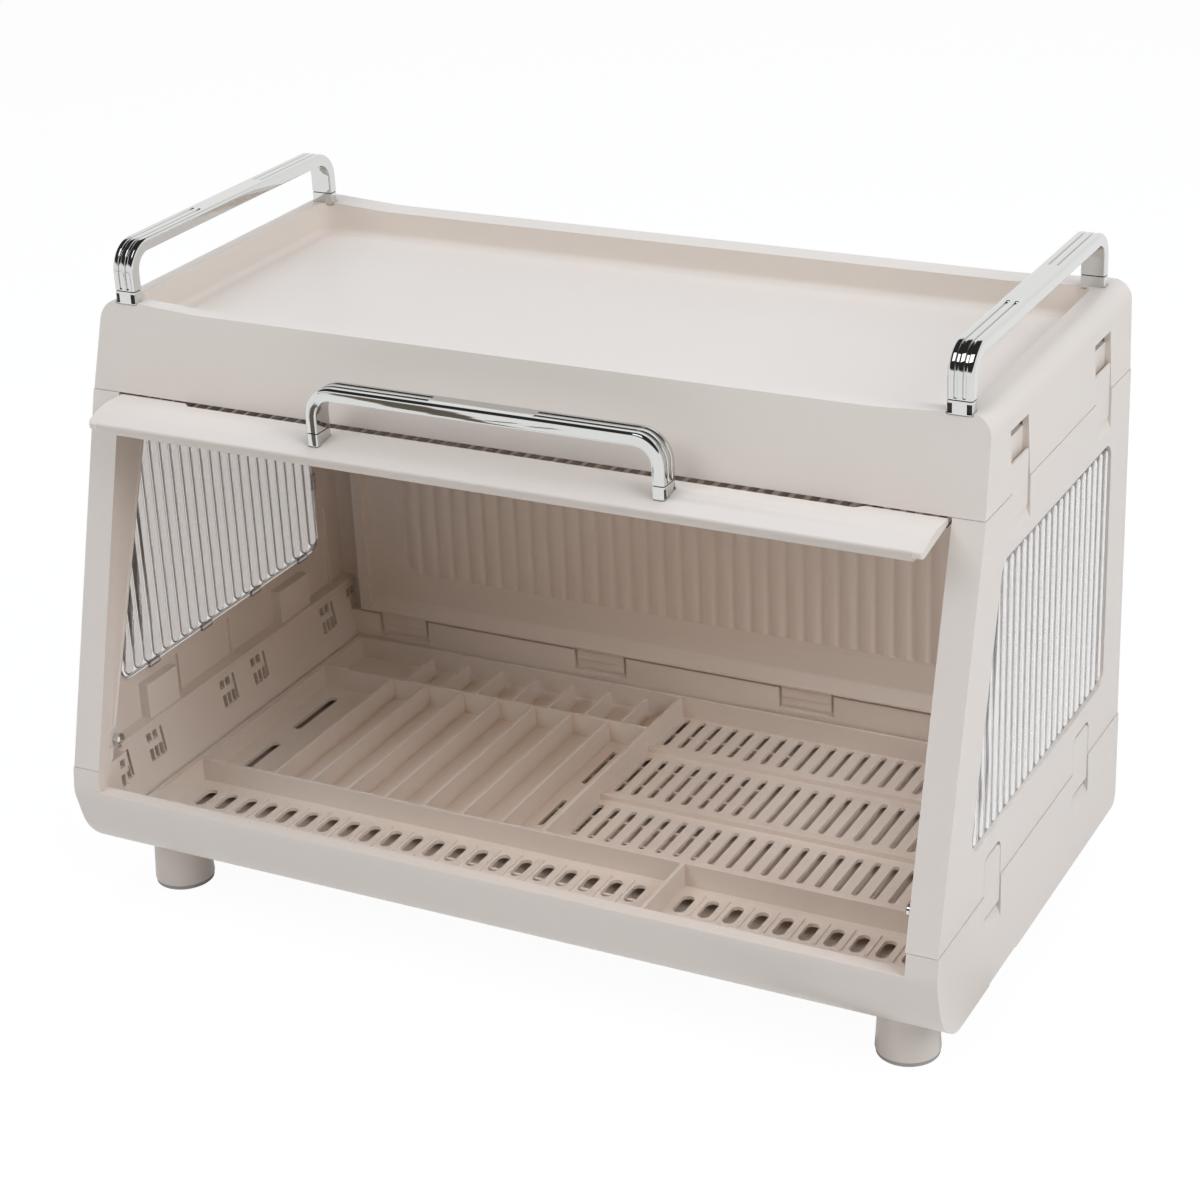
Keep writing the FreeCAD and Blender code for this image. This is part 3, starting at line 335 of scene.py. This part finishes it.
def bar_mesh(width, rise, across, outward):
    """Half-round bar of no length with rounded ends. Attribute end tells its two ends apart."""
    along = across.cross(outward)
    tip = 0.02
    cap = [math.pi / 2 * i / 5 for i in range(6)]
    rings = [(math.sin(t), math.cos(t) - 1, 0) for t in cap]
    rings += [(math.sin(t), 1 - math.cos(t), 1) for t in reversed(cap)]
    steps = 14
    points, ends, faces = [], [], []
    for shrink, shift, end in rings:
        size = max(shrink, tip)
        for i in range(steps + 1):
            turn = math.pi * i / steps
            points.append(across * (width / 2 * size * math.cos(turn))
                          + outward * (rise * size * math.sin(turn))
                          - along * (width / 2 * shift))
            ends.append(float(end))
    for ring in range(len(rings) - 1):
        for i in range(steps):
            a = ring * (steps + 1) + i
            faces.append((a, a + 1, a + steps + 2, a + steps + 1))
        a = ring * (steps + 1)
        faces.append((a + steps, a, a + steps + 1, a + 2 * steps + 1))
    mesh = bpy.data.meshes.new("bar")
    mesh.from_pydata(points, [], faces)
    mesh.attributes.new("end", "FLOAT", "POINT").data.foreach_set("value", ends)
    return mesh


# %% Row of bars as a node tree


def row_tree():
    """Tree that puts a bar at each point and stretches it along Direction."""
    tree, given, out = new_group(
        "row_of_bars", "GeometryNodeTree",
        {"Points": ("NodeSocketGeometry", None), "Bar": ("NodeSocketObject", None),
         "Direction": ("NodeSocketVector", (0, 0, 1)), "Material": ("NodeSocketMaterial", None)},
        {"Bars": "NodeSocketGeometry"})
    bar = add_node(tree, "GeometryNodeObjectInfo", {"Object": given["Bar"]})
    copies = add_node(tree, "GeometryNodeInstanceOnPoints", {"Points": given["Points"],
                                                             "Instance": bar.outputs["Geometry"]})
    real = add_node(tree, "GeometryNodeRealizeInstances", {"Geometry": copies.outputs["Instances"]})
    numbers = [add_node(tree, "GeometryNodeInputNamedAttribute", {"Name": name}, data_type="FLOAT").outputs[0]
               for name in ("end", "low", "high")]
    reach = add_node(tree, "ShaderNodeMix", {0: numbers[0], 2: numbers[1], 3: numbers[2]}, data_type="FLOAT",
                     clamp_factor=False)
    slide = add_node(tree, "ShaderNodeVectorMath", {0: given["Direction"], "Scale": reach.outputs[0]},
                     operation="SCALE")
    moved = add_node(tree, "GeometryNodeSetPosition", {"Geometry": real.outputs["Geometry"],
                                                       "Offset": slide.outputs[0]})
    painted = add_node(tree, "GeometryNodeSetMaterial", {"Geometry": moved.outputs["Geometry"],
                                                         "Material": given["Material"]})
    tree.links.new(painted.outputs["Geometry"], out.inputs["Bars"])
    return tree


ROW = row_tree()


def run_nodes(name, mesh, tree, **values):
    """Plain mesh object made by running a node tree on a mesh."""
    source = new_object(name + "_source", mesh)
    modifier = source.modifiers.new("nodes", "NODES")
    modifier.node_group = tree
    sockets = {item.name: item.identifier for item in tree.interface.items_tree
               if item.item_type == "SOCKET" and item.in_out == "INPUT"}
    for label, value in values.items():
        modifier[sockets[label.replace("_", " ")]] = value
    bpy.context.view_layer.update()
    evaluated = source.evaluated_get(bpy.context.evaluated_depsgraph_get())
    made = bpy.data.meshes.new_from_object(evaluated)
    made.name = name
    source.modifiers.remove(modifier)
    bpy.data.objects.remove(source)
    return new_object(name, made)


def row_of_bars(name, places, width, rise, across, outward, material):
    """Row of bars from (point, low, high) places."""
    bar = new_object(name + "_bar", bar_mesh(width, rise, across, outward))
    points = bpy.data.meshes.new(name + "_points")
    points.from_pydata([place for place, low, high in places], [], [])
    for k, label in ((1, "low"), (2, "high")):
        attribute = points.attributes.new(label, "FLOAT", "POINT")
        attribute.data.foreach_set("value", [place[k] for place in places])
    direction = across.cross(outward)
    row = run_nodes(name, points, ROW, Bar=bar, Direction=list(direction), Material=material)
    bpy.data.objects.remove(bar)
    for polygon in row.data.polygons:
        polygon.use_smooth = True
    row.data.set_sharp_from_angle(angle=math.radians(60))
    return row


# %% [markdown]
# A window's front edge leans with the body, so the bars near it are cut by a slanted plane.
# The sheet behind them is a flat plate with round corners that fills the opening. Clear
# plastic blocks lamps in a path tracer, but real light passes: the right window, which the
# lamp on that side shines through, casts no shadow, so that the insert inside is lit.

# %% Side windows
LEAN = 0.286
FRONT_AT_SEAM = (-82 * MM, 285 * MM)
WINDOW_LOW, WINDOW_HIGH = 116.5 * MM, 255.5 * MM
WINDOW_REAR = 107.5 * MM
WINDOW_SET_BACK = 33 * MM
WINDOW_CORNER = 9 * MM
BAR_PITCH, BAR_WIDTH, BAR_RISE = 9 * MM, 7.5 * MM, 2.2 * MM
BAR_MARGIN = 1.5 * MM
FIRST_BAR = 5 * MM
CORNER_SHARE = 0.35
CUT_MARGIN = 0.15 * MM
SHEET_THICKNESS = 2 * MM
SHEET_GAP = 0.02 * MM
OUTER_FACE, WALL_SKIN = 250.4 * MM, 2.5 * MM


def front_edge(z):
    """Front edge of the window opening at a height."""
    return FRONT_AT_SEAM[0] + (z - FRONT_AT_SEAM[1]) * LEAN + WINDOW_SET_BACK


def rounded_outline(corners, radius, steps=8):
    """Outline with its corners rounded, from (u, v) corners in counter-clockwise order."""
    points = []
    for i, corner in enumerate(corners):
        before = (Vector(corners[i - 1]) - Vector(corner)).normalized()
        after = (Vector(corners[(i + 1) % len(corners)]) - Vector(corner)).normalized()
        half = math.acos(max(-1, min(1, before.dot(after)))) / 2
        centre = Vector(corner) + (before + after).normalized() * (radius / math.sin(half))
        start = Vector(corner) + before * (radius / math.tan(half)) - centre
        sweep = math.pi - 2 * half
        points += [centre + Matrix.Rotation(sweep * k / steps, 2) @ start for k in range(steps + 1)]
    return points


def plate_mesh(name, outline, place, thickness):
    """Flat plate: place turns (u, v, depth) into a point in space."""
    count = len(outline)
    points = [place(u, v, depth) for depth in (0, thickness) for u, v in outline]
    faces = [tuple(range(count)), tuple(range(2 * count - 1, count - 1, -1))]
    faces += [(i, i + count, (i + 1) % count + count, (i + 1) % count) for i in range(count)]
    mesh = bpy.data.meshes.new(name)
    mesh.from_pydata(points, [], faces)
    work = bmesh.new()
    work.from_mesh(mesh)
    bmesh.ops.recalc_face_normals(work, faces=work.faces)
    work.to_mesh(mesh)
    work.free()
    return mesh


def cut_off(made, point, normal):
    """Remove what lies on the normal's side of a plane, and close the cut."""
    work = bmesh.new()
    work.from_mesh(made.data)
    whole = work.verts[:] + work.edges[:] + work.faces[:]
    cut = bmesh.ops.bisect_plane(work, geom=whole, plane_co=point, plane_no=normal, clear_outer=True)
    rim = [piece for piece in cut["geom_cut"] if isinstance(piece, bmesh.types.BMEdge)]
    bmesh.ops.holes_fill(work, edges=rim)
    bmesh.ops.recalc_face_normals(work, faces=work.faces)
    work.to_mesh(made.data)
    work.free()


def side_window(side):
    """Sheet and bars of one window; side is 1 on the right and -1 on the left."""
    node = "side_window_right" if side > 0 else "side_window_left"
    face_x = side * (OUTER_FACE - WALL_SKIN)
    corners = [(front_edge(WINDOW_LOW), WINDOW_LOW), (WINDOW_REAR, WINDOW_LOW),
               (WINDOW_REAR, WINDOW_HIGH), (front_edge(WINDOW_HIGH), WINDOW_HIGH)]
    outline = rounded_outline(corners, WINDOW_CORNER)
    sheet = new_object(node + "_sheet", plate_mesh(
        node + "_sheet", outline, lambda u, v, depth: (face_x - side * (depth + SHEET_GAP), u, v),
        SHEET_THICKNESS))
    places = []
    for k in range(int((WINDOW_REAR - front_edge(WINDOW_LOW)) / BAR_PITCH)):
        y = WINDOW_REAR - FIRST_BAR - BAR_PITCH * k
        corner_cut = max(0, WINDOW_CORNER - (WINDOW_REAR - y)) * CORNER_SHARE
        under_slant = FRONT_AT_SEAM[1] + (y + BAR_WIDTH / 2 - WINDOW_SET_BACK - FRONT_AT_SEAM[0]) / LEAN
        low = WINDOW_LOW + BAR_MARGIN + corner_cut
        high = min(WINDOW_HIGH, under_slant) - BAR_MARGIN - corner_cut
        if high - low > BAR_WIDTH:
            places.append(((face_x, y, 0), -high, -low))
    across = Vector((0, side, 0))
    bars = row_of_bars(node + "_bars", places, BAR_WIDTH, BAR_RISE, across, Vector((side, 0, 0)), clear)
    slant = Vector((0, -1, LEAN)).normalized()
    cut_off(bars, Vector((0, front_edge(WINDOW_LOW) + CUT_MARGIN, WINDOW_LOW)), slant)
    dress(sheet, clear, "base", "clear_plastic", node)
    dress(bars, clear, "base", "clear_plastic")
    return sheet, bars


for side in (1, -1):
    window_pieces = side_window(side)
    for piece in window_pieces:
        piece.visible_shadow = side < 0
    print("window on side", side, "has faces:", [len(piece.data.polygons) for piece in window_pieces])

# %% [markdown]
# The door is the same kind of sheet, lying flat while it is slid in under the tray. Its bars
# run from front to back, closer together than those of the windows.

# %% Door panel
panel = soften(bare_copy("door_panel", "door_panel_clear"), 0.2 * MM, 1)
dress(panel, clear, body_of_node("door_panel"), "clear_plastic", "door_panel")

# %% [markdown]
# A chrome handle is a bar bent twice, with two grooves that leave three ribs on its outer
# face. The grooves stop at the plain middle and above each foot. Each foot is a plain block
# set off by a thin slit, with a notch at each side. A sweep suits this: one section is
# carried along the bend, and every ring along it says how deep its grooves and notches are.
# The notches, the slits and a thin band where each foot meets the body get a second, nearly
# black material. It is painted shade, standing for the shadow in these gaps and at the seat.
# A mirror shows the smallest error, so the two sides are shaded flat, and a Weighted Normal
# modifier keeps the flat strips of the outer face flat too.

# %% Chrome handles
HANDLE_WIDTH = 13 * MM
HANDLE_BAR = 6.8 * MM
HANDLE_BEND = 16 * MM
GROOVE, GROOVE_DEPTH = (1.5, 2.8), 0.9
NOTCH, NOTCH_DEPTH = (3.6, 5.9), 1.1
SUNK = 0.9 * MM
SLIT_DEPTH = 0.45 * MM
PLAIN_MIDDLE = 58 * MM
SEAT_GAP = 0.3
NOTCH_LOW, NOTCH_HIGH = 0.75, 5.75
SLIT_LOW, SLIT_HIGH = 6.9, 7.45
GROOVE_START = 8.0

# Rings of one foot: height in mm, then how far the groove, the notch and the slit are cut in.
FOOT_RINGS = [(0.0, 0, 0, 0.3), (SEAT_GAP, 0, 0, 0),
              (NOTCH_LOW, 0, 0, 0), (NOTCH_LOW + 0.15, 0, 1, 0),
              (NOTCH_HIGH - 0.15, 0, 1, 0), (NOTCH_HIGH, 0, 0, 0),
              (SLIT_LOW, 0, 0, 0), (SLIT_LOW + 0.05, 0, 0, 1),
              (SLIT_HIGH - 0.05, 0, 0, 1), (SLIT_HIGH, 0, 0, 0),
              (GROOVE_START, 0, 0, 0), (GROOVE_START + 0.25, 0.7, 0, 0), (GROOVE_START + 0.6, 1, 0, 0),
              (11, 1, 0, 0), (14, 1, 0, 0)]
GROOVED_SHARES = (0.8, 0.6, 0.45)


def handle_path(length, height):
    """Rings from foot to foot: place on the middle line, outward direction and three depths."""
    half, inset = length / 2, HANDLE_BAR / 2
    radius, straight = HANDLE_BEND - HANDLE_BAR / 2, height - HANDLE_BEND
    rings = [(half - inset, v * MM, 1, 0, groove, notch, slit) for v, groove, notch, slit in FOOT_RINGS]
    for i in range(17):
        angle = math.pi / 2 * i / 16
        rings.append((half - HANDLE_BEND + radius * math.cos(angle), straight + radius * math.sin(angle),
                      math.cos(angle), math.sin(angle), 1, 0, 0))
    middle = PLAIN_MIDDLE / 2
    grooved = [(share * half, 1) for share in GROOVED_SHARES] + [(middle + 0.6 * MM, 1)]
    for u, groove in grooved + [(middle + 0.25 * MM, 0.7), (middle, 0), (middle / 2, 0)]:
        rings.append((u, height - inset, 0, 1, groove, 0, 0))
    other_half = [(-u, v, -nu, nv, *depths) for u, v, nu, nv, *depths in reversed(rings)]
    return rings + [(0, height - inset, 0, 1, 0, 0, 0)] + other_half


RIB_ROUND = [(0, 0.55), (0.08, 0.32), (0.24, 0.1), (0.55, 0)]
EDGE_ROUND = 1.7


def outer_profile(groove, notch):
    """Heights lost across the outer face, from its middle to its edge, as (across, drop) in mm."""
    half = HANDLE_WIDTH / MM / 2
    edge = [(half - EDGE_ROUND * (1 - math.sin(t)), EDGE_ROUND * (1 - math.cos(t))) for t in
            [math.pi / 2 * i / 8 for i in range(9)]]
    near, far = GROOVE
    points = [(0, 0)] + [(near - step, drop * groove) for step, drop in reversed(RIB_ROUND)]
    points += [(near + 0.08, GROOVE_DEPTH * groove), (far - 0.08, GROOVE_DEPTH * groove)]
    points += [(far + step, drop * groove) for step, drop in RIB_ROUND]
    near, far = NOTCH
    points += [(near - 0.12, 0), (near, 0.15 * notch), (near + 0.08, NOTCH_DEPTH * notch),
               (near + 0.9, NOTCH_DEPTH * notch)]
    return points + [(across, drop + max(0, NOTCH_DEPTH * notch - drop) * (across < far))
                     for across, drop in edge[1:]]


def handle_section(groove, notch, slit):
    """Closed section of the bar as (across, outward) points."""
    half, thick, corner = HANDLE_WIDTH / 2, HANDLE_BAR / 2, 1.0 * MM
    profile = outer_profile(groove, notch)
    profile = [(-across, drop) for across, drop in reversed(profile[1:])] + profile
    points = [(across * MM, thick - drop * MM) for across, drop in profile]
    points += [(half, -thick + corner), (half - 0.3 * corner, -thick + 0.3 * corner), (half - corner, -thick),
               (0, -thick), (-half + corner, -thick), (-half + 0.3 * corner, -thick + 0.3 * corner),
               (-half, -thick + corner)]
    narrow, thin = 1 - slit * SLIT_DEPTH / half, 1 - slit * SLIT_DEPTH / thick
    return [(across * narrow, out * thin) for across, out in points]


def handle_mesh(name, length, height, to_place):
    """Swept handle, with to_place turning its own frame into the object's."""
    work = bmesh.new()
    path = handle_path(length, height)
    sections = [handle_section(*depths) for u, v, nu, nv, *depths in path]
    rings = []
    for (u, v, nu, nv, *depths), section in zip(path, sections):
        rings.append([work.verts.new(to_place @ Vector((u + nu * out, across, v + nv * out)))
                      for across, out in section])
    count = len(rings[0])
    for k, (ring, following) in enumerate(zip(rings, rings[1:])):
        (_, v, _, _, _, *cuts), (_, next_v, _, _, _, *next_cuts) = path[k], path[k + 1]
        at_foot = max(v, next_v) < (SEAT_GAP + 0.01) * MM
        in_notch, in_slit = (min(pair) == 1 for pair in zip(cuts, next_cuts))
        for i in range(count):
            face = work.faces.new((ring[i], ring[(i + 1) % count], following[(i + 1) % count], following[i]))
            ends = sections[k][i], sections[k][(i + 1) % count]
            sunk = all(NOTCH[0] * MM <= abs(across) <= NOTCH[1] * MM and out < HANDLE_BAR / 2 - SUNK
                       for across, out in ends)
            # Painted shade: the seat under each foot, the slits and the notch floors take the near-black
            # second material.
            face.material_index = int(at_foot or in_slit or (in_notch and sunk))
            face.smooth = abs(ends[0][0] - ends[1][0]) > 1e-6
    work.faces.new(rings[0])
    work.faces.new(rings[-1])
    bmesh.ops.recalc_face_normals(work, faces=work.faces)
    mesh = bpy.data.meshes.new(name)
    mesh.materials.append(chrome)
    mesh.materials.append(painted_gap_shade)
    work.to_mesh(mesh)
    work.free()
    mesh.set_sharp_from_angle(angle=math.radians(35))
    made = new_object(name, mesh)
    made.modifiers.new("flat_faces_stay_flat", "WEIGHTED_NORMAL").keep_sharp = True
    return made


for node, turn in (("top_handle_left", math.pi / 2), ("top_handle_right", math.pi / 2), ("door_handle", 0)):
    low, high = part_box(node)
    middle = (low + high) / 2
    place = Matrix.Translation(Vector((middle.x, middle.y, low.z))) @ Matrix.Rotation(turn, 4, "Z")
    bar = handle_mesh(node + "_bar", max(high.x - low.x, high.y - low.y), high.z - low.z, place)
    dress(bar, None, body_of_node(node), "chrome", node)
    print(node, "swept with", len(bar.data.polygons), "faces")

# %% [markdown]
# The photograph has a pure white background. A world that bright would flood the object with
# light, so white is only shown to rays that come straight from the camera, or that metal or
# clear plastic has turned on their way. The Light Path node tells them apart, and Diffuse
# Depth leaves out light that has already bounced inside the cabinet.

# %% Which rays see white


def sees_white(tree):
    """Socket with 1 for rays that show the background, 0 for rays that carry its light."""
    rays = tree.nodes.new("ShaderNodeLightPath")
    seen = math_node(tree, "ADD", rays.outputs["Is Camera Ray"], rays.outputs["Is Glossy Ray"])
    seen = math_node(tree, "ADD", seen, rays.outputs["Is Transmission Ray"], use_clamp=True)
    direct = math_node(tree, "LESS_THAN", rays.outputs["Diffuse Depth"], 0.5)
    return math_node(tree, "MULTIPLY", seen, direct)


# %% [markdown]
# Bright chrome needs something dark to show. In the photograph a ragged brown streak runs
# along the front of the door's handle, probably the picture of something in front of the
# cabinet. Here it is a painted reflection: a strip painted into the floor, with a torn edge
# from a Noise Texture and two loose scraps at its end, which only mirror rays see.

# %% Painted reflection: torn strip on the floor
STRIP_OFFSET, STRIP_WANDER = -0.335, 0.06
SCRAP_PLACE, SCRAP_SIZE, SCRAP_WAVE = (-0.333, -0.715), 0.03, 180.0


def painted_reflection_strip(tree):
    """Socket with 1 on the painted reflection's strip, from the floor's Object coordinates."""
    place = tree.nodes.new("ShaderNodeTexCoord").outputs["Object"]
    axes = add_node(tree, "ShaderNodeSeparateXYZ", {0: place}).outputs
    noise = add_node(tree, "ShaderNodeTexNoise", {"Vector": place, "Scale": 22.0, "Detail": 4.0})
    middle = math_node(tree, "ADD", axes["X"], STRIP_OFFSET)
    middle = math_node(tree, "MULTIPLY_ADD", noise.outputs["Fac"], STRIP_WANDER, middle)
    width = add_node(tree, "ShaderNodeMapRange", {"Value": axes["X"], "From Min": -0.42, "From Max": -0.34,
                                                  "To Min": 0.052, "To Max": 0.02})
    strip = math_node(tree, "COMPARE", axes["Y"], middle, width.outputs[0])
    wave = math_node(tree, "COSINE", math_node(tree, "MULTIPLY_ADD", axes["X"], SCRAP_WAVE, 63.0))
    near = math_node(tree, "COMPARE", axes["X"], SCRAP_PLACE[0], 0.034)
    size = math_node(tree, "MULTIPLY", math_node(tree, "MULTIPLY", near, SCRAP_SIZE), wave)
    scraps = math_node(tree, "COMPARE", axes["Y"], SCRAP_PLACE[1], size)
    return math_node(tree, "MAXIMUM", strip, scraps)


# %% [markdown]
# The stage is a large pale floor. To the camera it is mostly white light, so that it looks
# like a studio sweep, with enough plain surface mixed in to keep a soft shadow.

# %% Floor
FLOOR_HALF = 8.0
floor_mesh = bpy.data.meshes.new("floor")
floor_mesh.from_pydata([(-FLOOR_HALF, -FLOOR_HALF, 0), (FLOOR_HALF, -FLOOR_HALF, 0),
                        (FLOOR_HALF, FLOOR_HALF, 0), (-FLOOR_HALF, FLOOR_HALF, 0)], [], [(0, 1, 2, 3)])
floor = new_object("floor", floor_mesh)
floor_look = bpy.data.materials.new("pale_floor")
floor_look.use_nodes = True
tree = floor_look.node_tree
tree.nodes.clear()
paint = add_node(tree, "ShaderNodeBsdfDiffuse", {"Color": (0.86, 0.86, 0.86, 1)})
rays = tree.nodes.new("ShaderNodeLightPath")
# Painted reflection: only mirror rays see the dark strip in the floor.
dark = math_node(tree, "MULTIPLY", painted_reflection_strip(tree), rays.outputs["Is Glossy Ray"])
shown = add_node(tree, "ShaderNodeMix", {0: dark, 6: (1, 1, 1, 1), 7: (0.10, 0.075, 0.04, 1)},
                 data_type="RGBA")
glow = add_node(tree, "ShaderNodeEmission", {"Color": shown.outputs[2], "Strength": 1.03})
share = math_node(tree, "MULTIPLY", sees_white(tree), 0.93)
mix = add_node(tree, "ShaderNodeMixShader", {0: share, 1: paint.outputs[0], 2: glow.outputs[0]})
output = tree.nodes.new("ShaderNodeOutputMaterial")
tree.links.new(mix.outputs[0], output.inputs["Surface"])
floor_mesh.materials.append(floor_look)

# %% [markdown]
# Soft light comes from large panels: one overhead, one high on the right and a key light high
# in front on the left, which reaches in under the door's lip. They are a little cool, since
# the warm plastic tints every bounce. Chrome doesn't show them, so its dark lines stay dark.

# %% Lights
AIM = Vector((0, 0, 0.18))


def soft_panel(name, place, size, power, color):
    """Square area light at a place, aimed at the middle of the object."""
    light = bpy.data.lights.new(name, "AREA")
    light.size = size
    light.energy = power
    light.color = color
    lamp = bpy.data.objects.new(name, light)
    turned = (AIM - Vector(place)).to_track_quat("-Z", "Y").to_matrix().to_4x4()
    lamp.matrix_world = Matrix.Translation(place) @ turned
    lamp.visible_glossy = False
    bpy.context.scene.collection.objects.link(lamp)
    return lamp


COOL, COOLER = (0.865, 0.955, 1.08), (0.80, 0.935, 1.12)
soft_panel("overhead", (0.1, 0.3, 2.2), 2.0, 22, COOLER)
soft_panel("right", (1.8, -0.5, 1.5), 1.2, 24, COOL)
soft_panel("key", (-0.9, -1.6, 2.0), 1.6, 21, COOL)

# %% [markdown]
# Inside the cabinet the photograph is warm and brightest on the floor. That light probably
# comes in through the clear parts and bounces about. A weak warm lamp under the tray stands
# for it.

# %% Glow inside the cabinet
GLOW_PLACE = Vector((0.04, -0.045, 0.266))
glow = soft_panel("inside", GLOW_PLACE, 0.32, 0.105, (1.0, 0.75, 0.58))
glow.matrix_world = Matrix.Translation(GLOW_PLACE)
glow.data.shape = "RECTANGLE"
glow.data.size_y = 0.08
glow.visible_camera = False
glow.visible_transmission = False

# %% [markdown]
# The world gives the last, even light. What the camera and the metal see of it is white near
# the horizon and dark overhead, like a studio with a black ceiling that slopes down to the
# front. That dark ceiling draws the thin black lines along the edges of the chrome, and one
# lit panel in it gives the white glints in the handle's bend.

# %% World
CEILING_SLOPE = 0.25
PANEL_PLACE, PANEL_HALF = (-0.2, -0.47), 0.2
world = bpy.data.worlds.new("studio")
world.use_nodes = True
tree = world.node_tree
tree.nodes.clear()
place = tree.nodes.new("ShaderNodeTexCoord")
axes = add_node(tree, "ShaderNodeSeparateXYZ", {0: place.outputs["Generated"]})
tilted = math_node(tree, "MULTIPLY_ADD", axes.outputs["Y"], -CEILING_SLOPE, axes.outputs["Z"])
ceiling = add_node(tree, "ShaderNodeMapRange", {"Value": tilted, "From Min": 0.40, "From Max": 0.50,
                                                "To Min": 1.0, "To Max": 0.03})
panel_y = math_node(tree, "COMPARE", axes.outputs["Y"], PANEL_PLACE[1], PANEL_HALF)
panel_x = math_node(tree, "COMPARE", axes.outputs["X"], PANEL_PLACE[0], PANEL_HALF)
panel_lit = math_node(tree, "MULTIPLY", math_node(tree, "MULTIPLY", panel_y, panel_x), 2.0)
sky = math_node(tree, "MAXIMUM", ceiling.outputs[0], panel_lit)
fill = add_node(tree, "ShaderNodeBackground", {"Color": (0.97, 0.97, 0.97, 1), "Strength": 0.20})
white = add_node(tree, "ShaderNodeBackground", {"Color": (1, 1, 1, 1), "Strength": sky})
mix = add_node(tree, "ShaderNodeMixShader", {0: sees_white(tree), 1: fill.outputs[0], 2: white.outputs[0]})
output = tree.nodes.new("ShaderNodeOutputWorld")
tree.links.new(mix.outputs[0], output.inputs["Surface"])
bpy.context.scene.world = world
